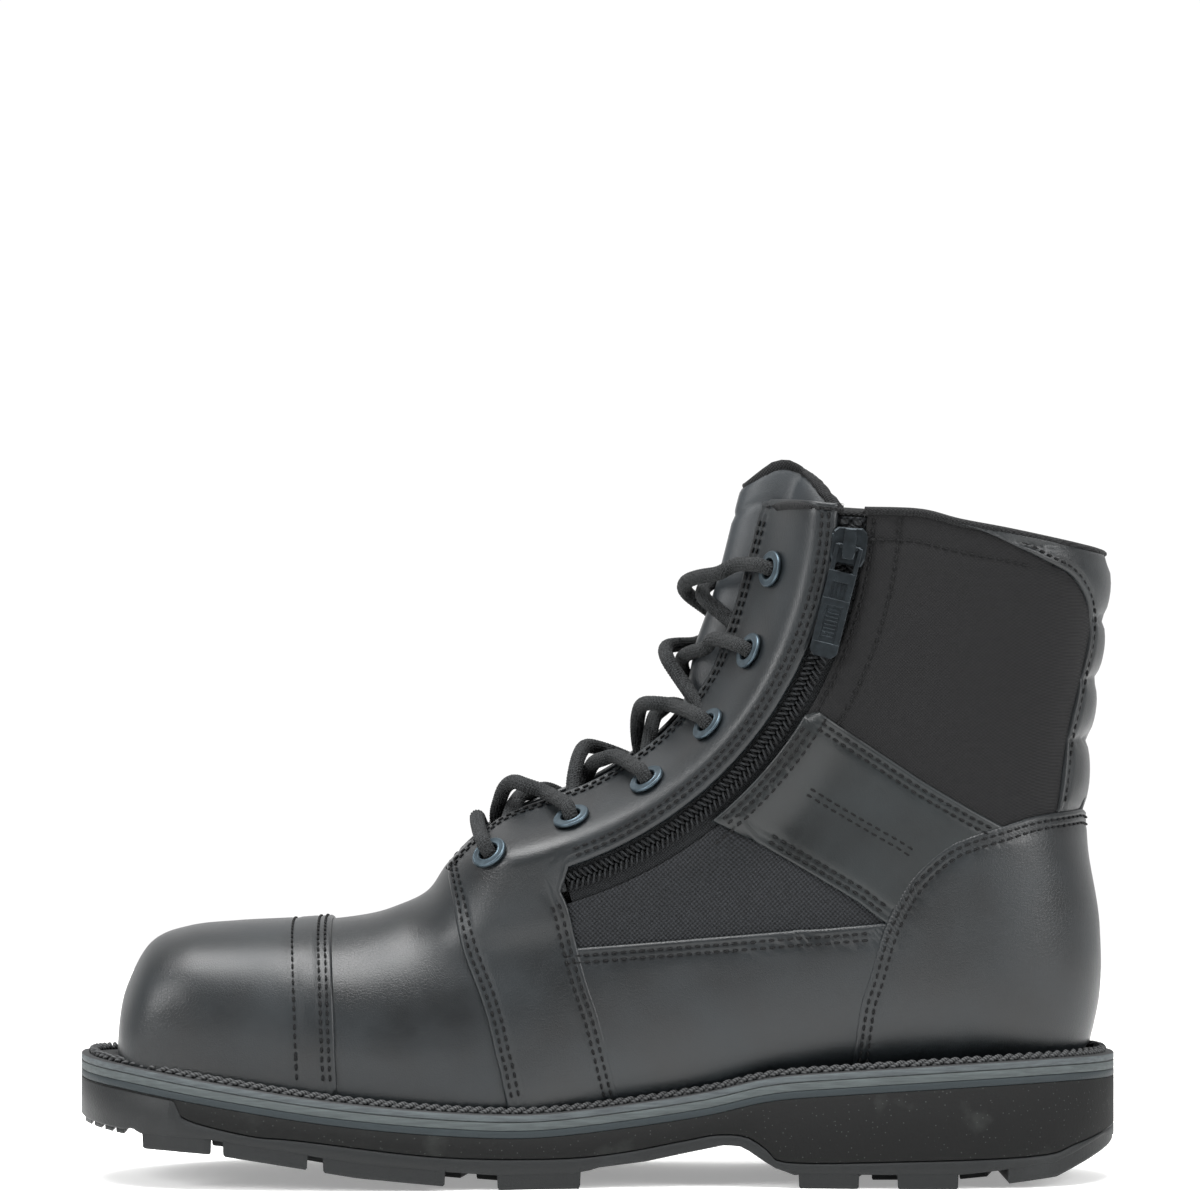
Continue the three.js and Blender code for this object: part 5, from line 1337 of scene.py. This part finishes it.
def lug(points, depth=0.0):
    """A block of the tread: its plan outline, drafted and bevelled at the ground."""
    points = np.asarray(points, float)
    middle = points.mean(0)
    rings = []
    for shrink, lift in ((0.7, 0.0), (0.2, 0.6), (0.0, LUG_DEPTH + 1.2)):
        away = points - middle
        far = np.linalg.norm(away, axis=1)[:, None]
        ring = middle + away * (1 - shrink / far)
        low = tread_height(ring[:, 0]) + depth + lift
        rings.append(np.column_stack([ring, np.maximum(low, 0.02 + lift)]))
    return np.concatenate(rings), ring_faces(3, len(points))


def counter_clockwise(points):
    x, y = np.asarray(points).T
    return points if (x * np.roll(y, -1) - y * np.roll(x, -1)).sum() > 0 else points[::-1]


def across_at(line, x):
    """Where a line of the sole's plan crosses x."""
    return np.interp(x, *line[np.argsort(line[:, 0])].T)


LUG_SLANT, BAR_GAP, BAR_LIFT, STUD_LIFT = 2.0, 3.5, -0.9, 0.6
outer_line, deep_line = inset_edge(0.25), inset_edge(19)
toe_sides = [outer_line[outer_line[:, 1] < -8], outer_line[outer_line[:, 1] > -8]]
middle_sides = [deep_line[deep_line[:, 1] < -3], deep_line[deep_line[:, 1] > -3]]
lugs = []
for low, high in LUGS:
    for side in (-1, 1):
        on_side = (sole_edge[:, 1] + 3) * side > 0
        near_edge = outer_line[on_side & (outer_line[:, 0] > low) & (outer_line[:, 0] < high)]
        near_edge = near_edge[np.argsort(near_edge[:, 0])]
        outline = [(low, across_at(near_edge, low)), *near_edge.tolist(), (high, across_at(near_edge, high))]
        outline += [(x, across_at(deep_line[on_side], x)) for x in (high - LUG_SLANT, low + LUG_SLANT)]
        lugs.append(lug(counter_clockwise(outline)))
lugs.append(lug(counter_clockwise(outer_line[outer_line[:, 0] > 118.5].tolist())))
for low, high in ((-152.6, -150.1), (-149.0, -146.5), (-145.4, -142.9), (-141.8, -139.3)):
    near, far = ([across_at(line, x) + gap for x in (low, high)]
                 for line, gap in zip(toe_sides, (BAR_GAP, -BAR_GAP)))
    lugs.append(lug(counter_clockwise([(low, near[0]), (high, near[1]), (high, far[1]), (low, far[0])]),
                    BAR_LIFT))
for x in np.arange(-124, 112, 13.0):
    if -10 < x < 62:
        continue
    for near, line, gap in zip((-5.0, 0.0), middle_sides, (BAR_GAP, -BAR_GAP)):
        far = across_at(line, x) + gap
        if abs(far - near) > 5:
            lugs.append(lug(counter_clockwise([(x, near), (x + 8.5, near), (x + 5.5, far), (x - 3, far)]),
                            STUD_LIFT))
joined("outsole_lugs", lugs, nitrile, "boot", "rubber")
fasten(plate, "rubber", "outsole")

# ---------------------------------------------------------------- welt stitch
# A heavy waxed lockstitch round the ledge of the welt. Two thick plies lie over each other,
# one lap to a stitch, and it is pulled down a little at each hole.
PLY_RADIUS, PLY_SWING, WELT_PITCH, LEDGE = 0.72, 0.58, 6.4, 3.6
waxed_thread = spun_thread("waxed_polyester_thread", "191a1b", "4a4b4c", 0.8)
ledge = inset_edge(LEDGE)
ledge = np.column_stack([ledge, welt_height(ledge[:, 0]) + 0.75])
ledge, run = even_steps(np.concatenate([ledge, ledge[:1]]), 0.5)
ledge, run = ledge[:-1], run[:-1]
loops = round(run[-1] / WELT_PITCH)
turn = 2 * math.pi * loops * np.arange(len(run)) / len(run)
along = np.roll(ledge, -1, 0) - np.roll(ledge, 1, 0)
along /= np.linalg.norm(along, axis=1)[:, None]
beside = np.cross(along, (0, 0, 1.0))
for n in range(2):
    swing = turn + math.pi * n
    line = ledge + beside * (PLY_SWING * 1.3 * np.cos(swing))[:, None]
    line[:, 2] += PLY_SWING * np.sin(swing) - 0.25 * np.cos(turn / 2) ** 8
    ply = sweep(f"welt_stitch_ply_{n + 1}", line, np.tile([0, 0, 1.0], (len(line), 1)),
                oval(PLY_RADIUS, PLY_RADIUS, 8), waxed_thread, closed=True)
    fasten(ply, "thread", *(["welt_stitch"] if n == 0 else []))

# ---------------------------------------------------------------- footbed
# A removable moulded foam footbed under a nylon cover. It is cupped at the heel, raised a
# little under the arch and flat at the toes.
FOOTBED_LIFT, FOOTBED_THICK = 3.1, 5.0


def footbed_edge(side):
    """The line where the footbed meets the lining, from toe to heel."""
    edge = []
    for s in np.linspace(0.6, 15.2, 60):
        turn = np.linspace(0.0, 1.5, 160)
        ring = on_last(s, turn if side < 0 else 2 * math.pi - turn, -6.4, False)
        above = ring[:, 2] > welt_height(ring[:, 0]) + FOOTBED_LIFT + FOOTBED_THICK * 0.5
        edge.append(ring[np.argmax(above)] if above.any() else ring[-1])
    return np.array(edge)


left, right = footbed_edge(-1), footbed_edge(1)
shares = np.linspace(0, 1, 41)
middle = left[:, None, :2] * (1 - shares)[None, :, None] + right[:, None, :2] * shares[None, :, None]
x, y = middle[..., 0], middle[..., 1]
rim_gap = np.minimum.reduce([np.minimum(shares, 1 - shares)[None, :] * 2 * 34 * np.ones_like(x),
                             (x - x.min() + 0.01), (x.max() - x + 0.01)])
crown = np.sqrt(np.clip(1 - (1 - np.clip(rim_gap / 3.5, 0, 1)) ** 2, 0, 1))
heel_cup = 2.6 * np.exp(-(rim_gap / 9) ** 2) * smoothstep(10, 80, x)
cup = heel_cup + 1.6 * np.exp(-((x - 20) / 30) ** 2) * (y < -14)
base = welt_height(x) + FOOTBED_LIFT
top = np.stack([x, y, base + FOOTBED_THICK * (0.45 + 0.55 * crown) + cup * crown], -1)
bottom = np.stack([x, y, base + FOOTBED_THICK * 0.45 * (1 - crown)], -1)
places, everything = closed_solid(top.reshape(-1, 3), bottom.reshape(-1, 3) - (0, 0, 0.02),
                                  grid_faces(*x.shape))
footbed_cloth = woven_cloth("nylon_footbed_cover", "17181a", "2f3134", 1.0, 0.5)
footbed = mesh_object("footbed_cushion", places, everything, footbed_cloth)
fasten(footbed, "lining", "footbed")

# ---------------------------------------------------------------- inner structure
# What is closed in between the leather and the lining, and between the insole and the sole:
# these keep the frame's own solids, in the materials they are really made of.
pressed_steel = blackened_metal("pressed_tempered_steel", "7c8285", "9ba1a4", 0.38)
needle_felt = woven_cloth("needled_polyester_felt", "3a3c3e", "5b5e61", 1.4, 0.7)
pu_foam = moulded("open_cell_polyurethane_foam", "4a4c4f", "6a6d70", 0.9, 0.4)
heel_board = ground_board("thermoformed_heel_counter", "5a4c3c", "7a6a55", "6a5c49")
insole_fibre = ground_board("cellulose_insole_board", "6f675a", "8a8172", "7d7466")
cork_filler = moulded("cork_and_latex_filler", "5d4a35", "8d7658", 0.85, 1.2, flecks=1.0)
for name, material in (("safety_toe_cap", pressed_steel), ("shank", pressed_steel),
                       ("vamp_interlining", needle_felt), ("vamp_lining", lining_cloth),
                       ("collar_foam", pu_foam), ("heel_stiffener", heel_board),
                       ("insole_board", insole_fibre), ("bottom_filler", cork_filler)):
    carried = bpy.data.objects[name]
    carried.data.materials.clear()
    carried.data.materials.append(material)
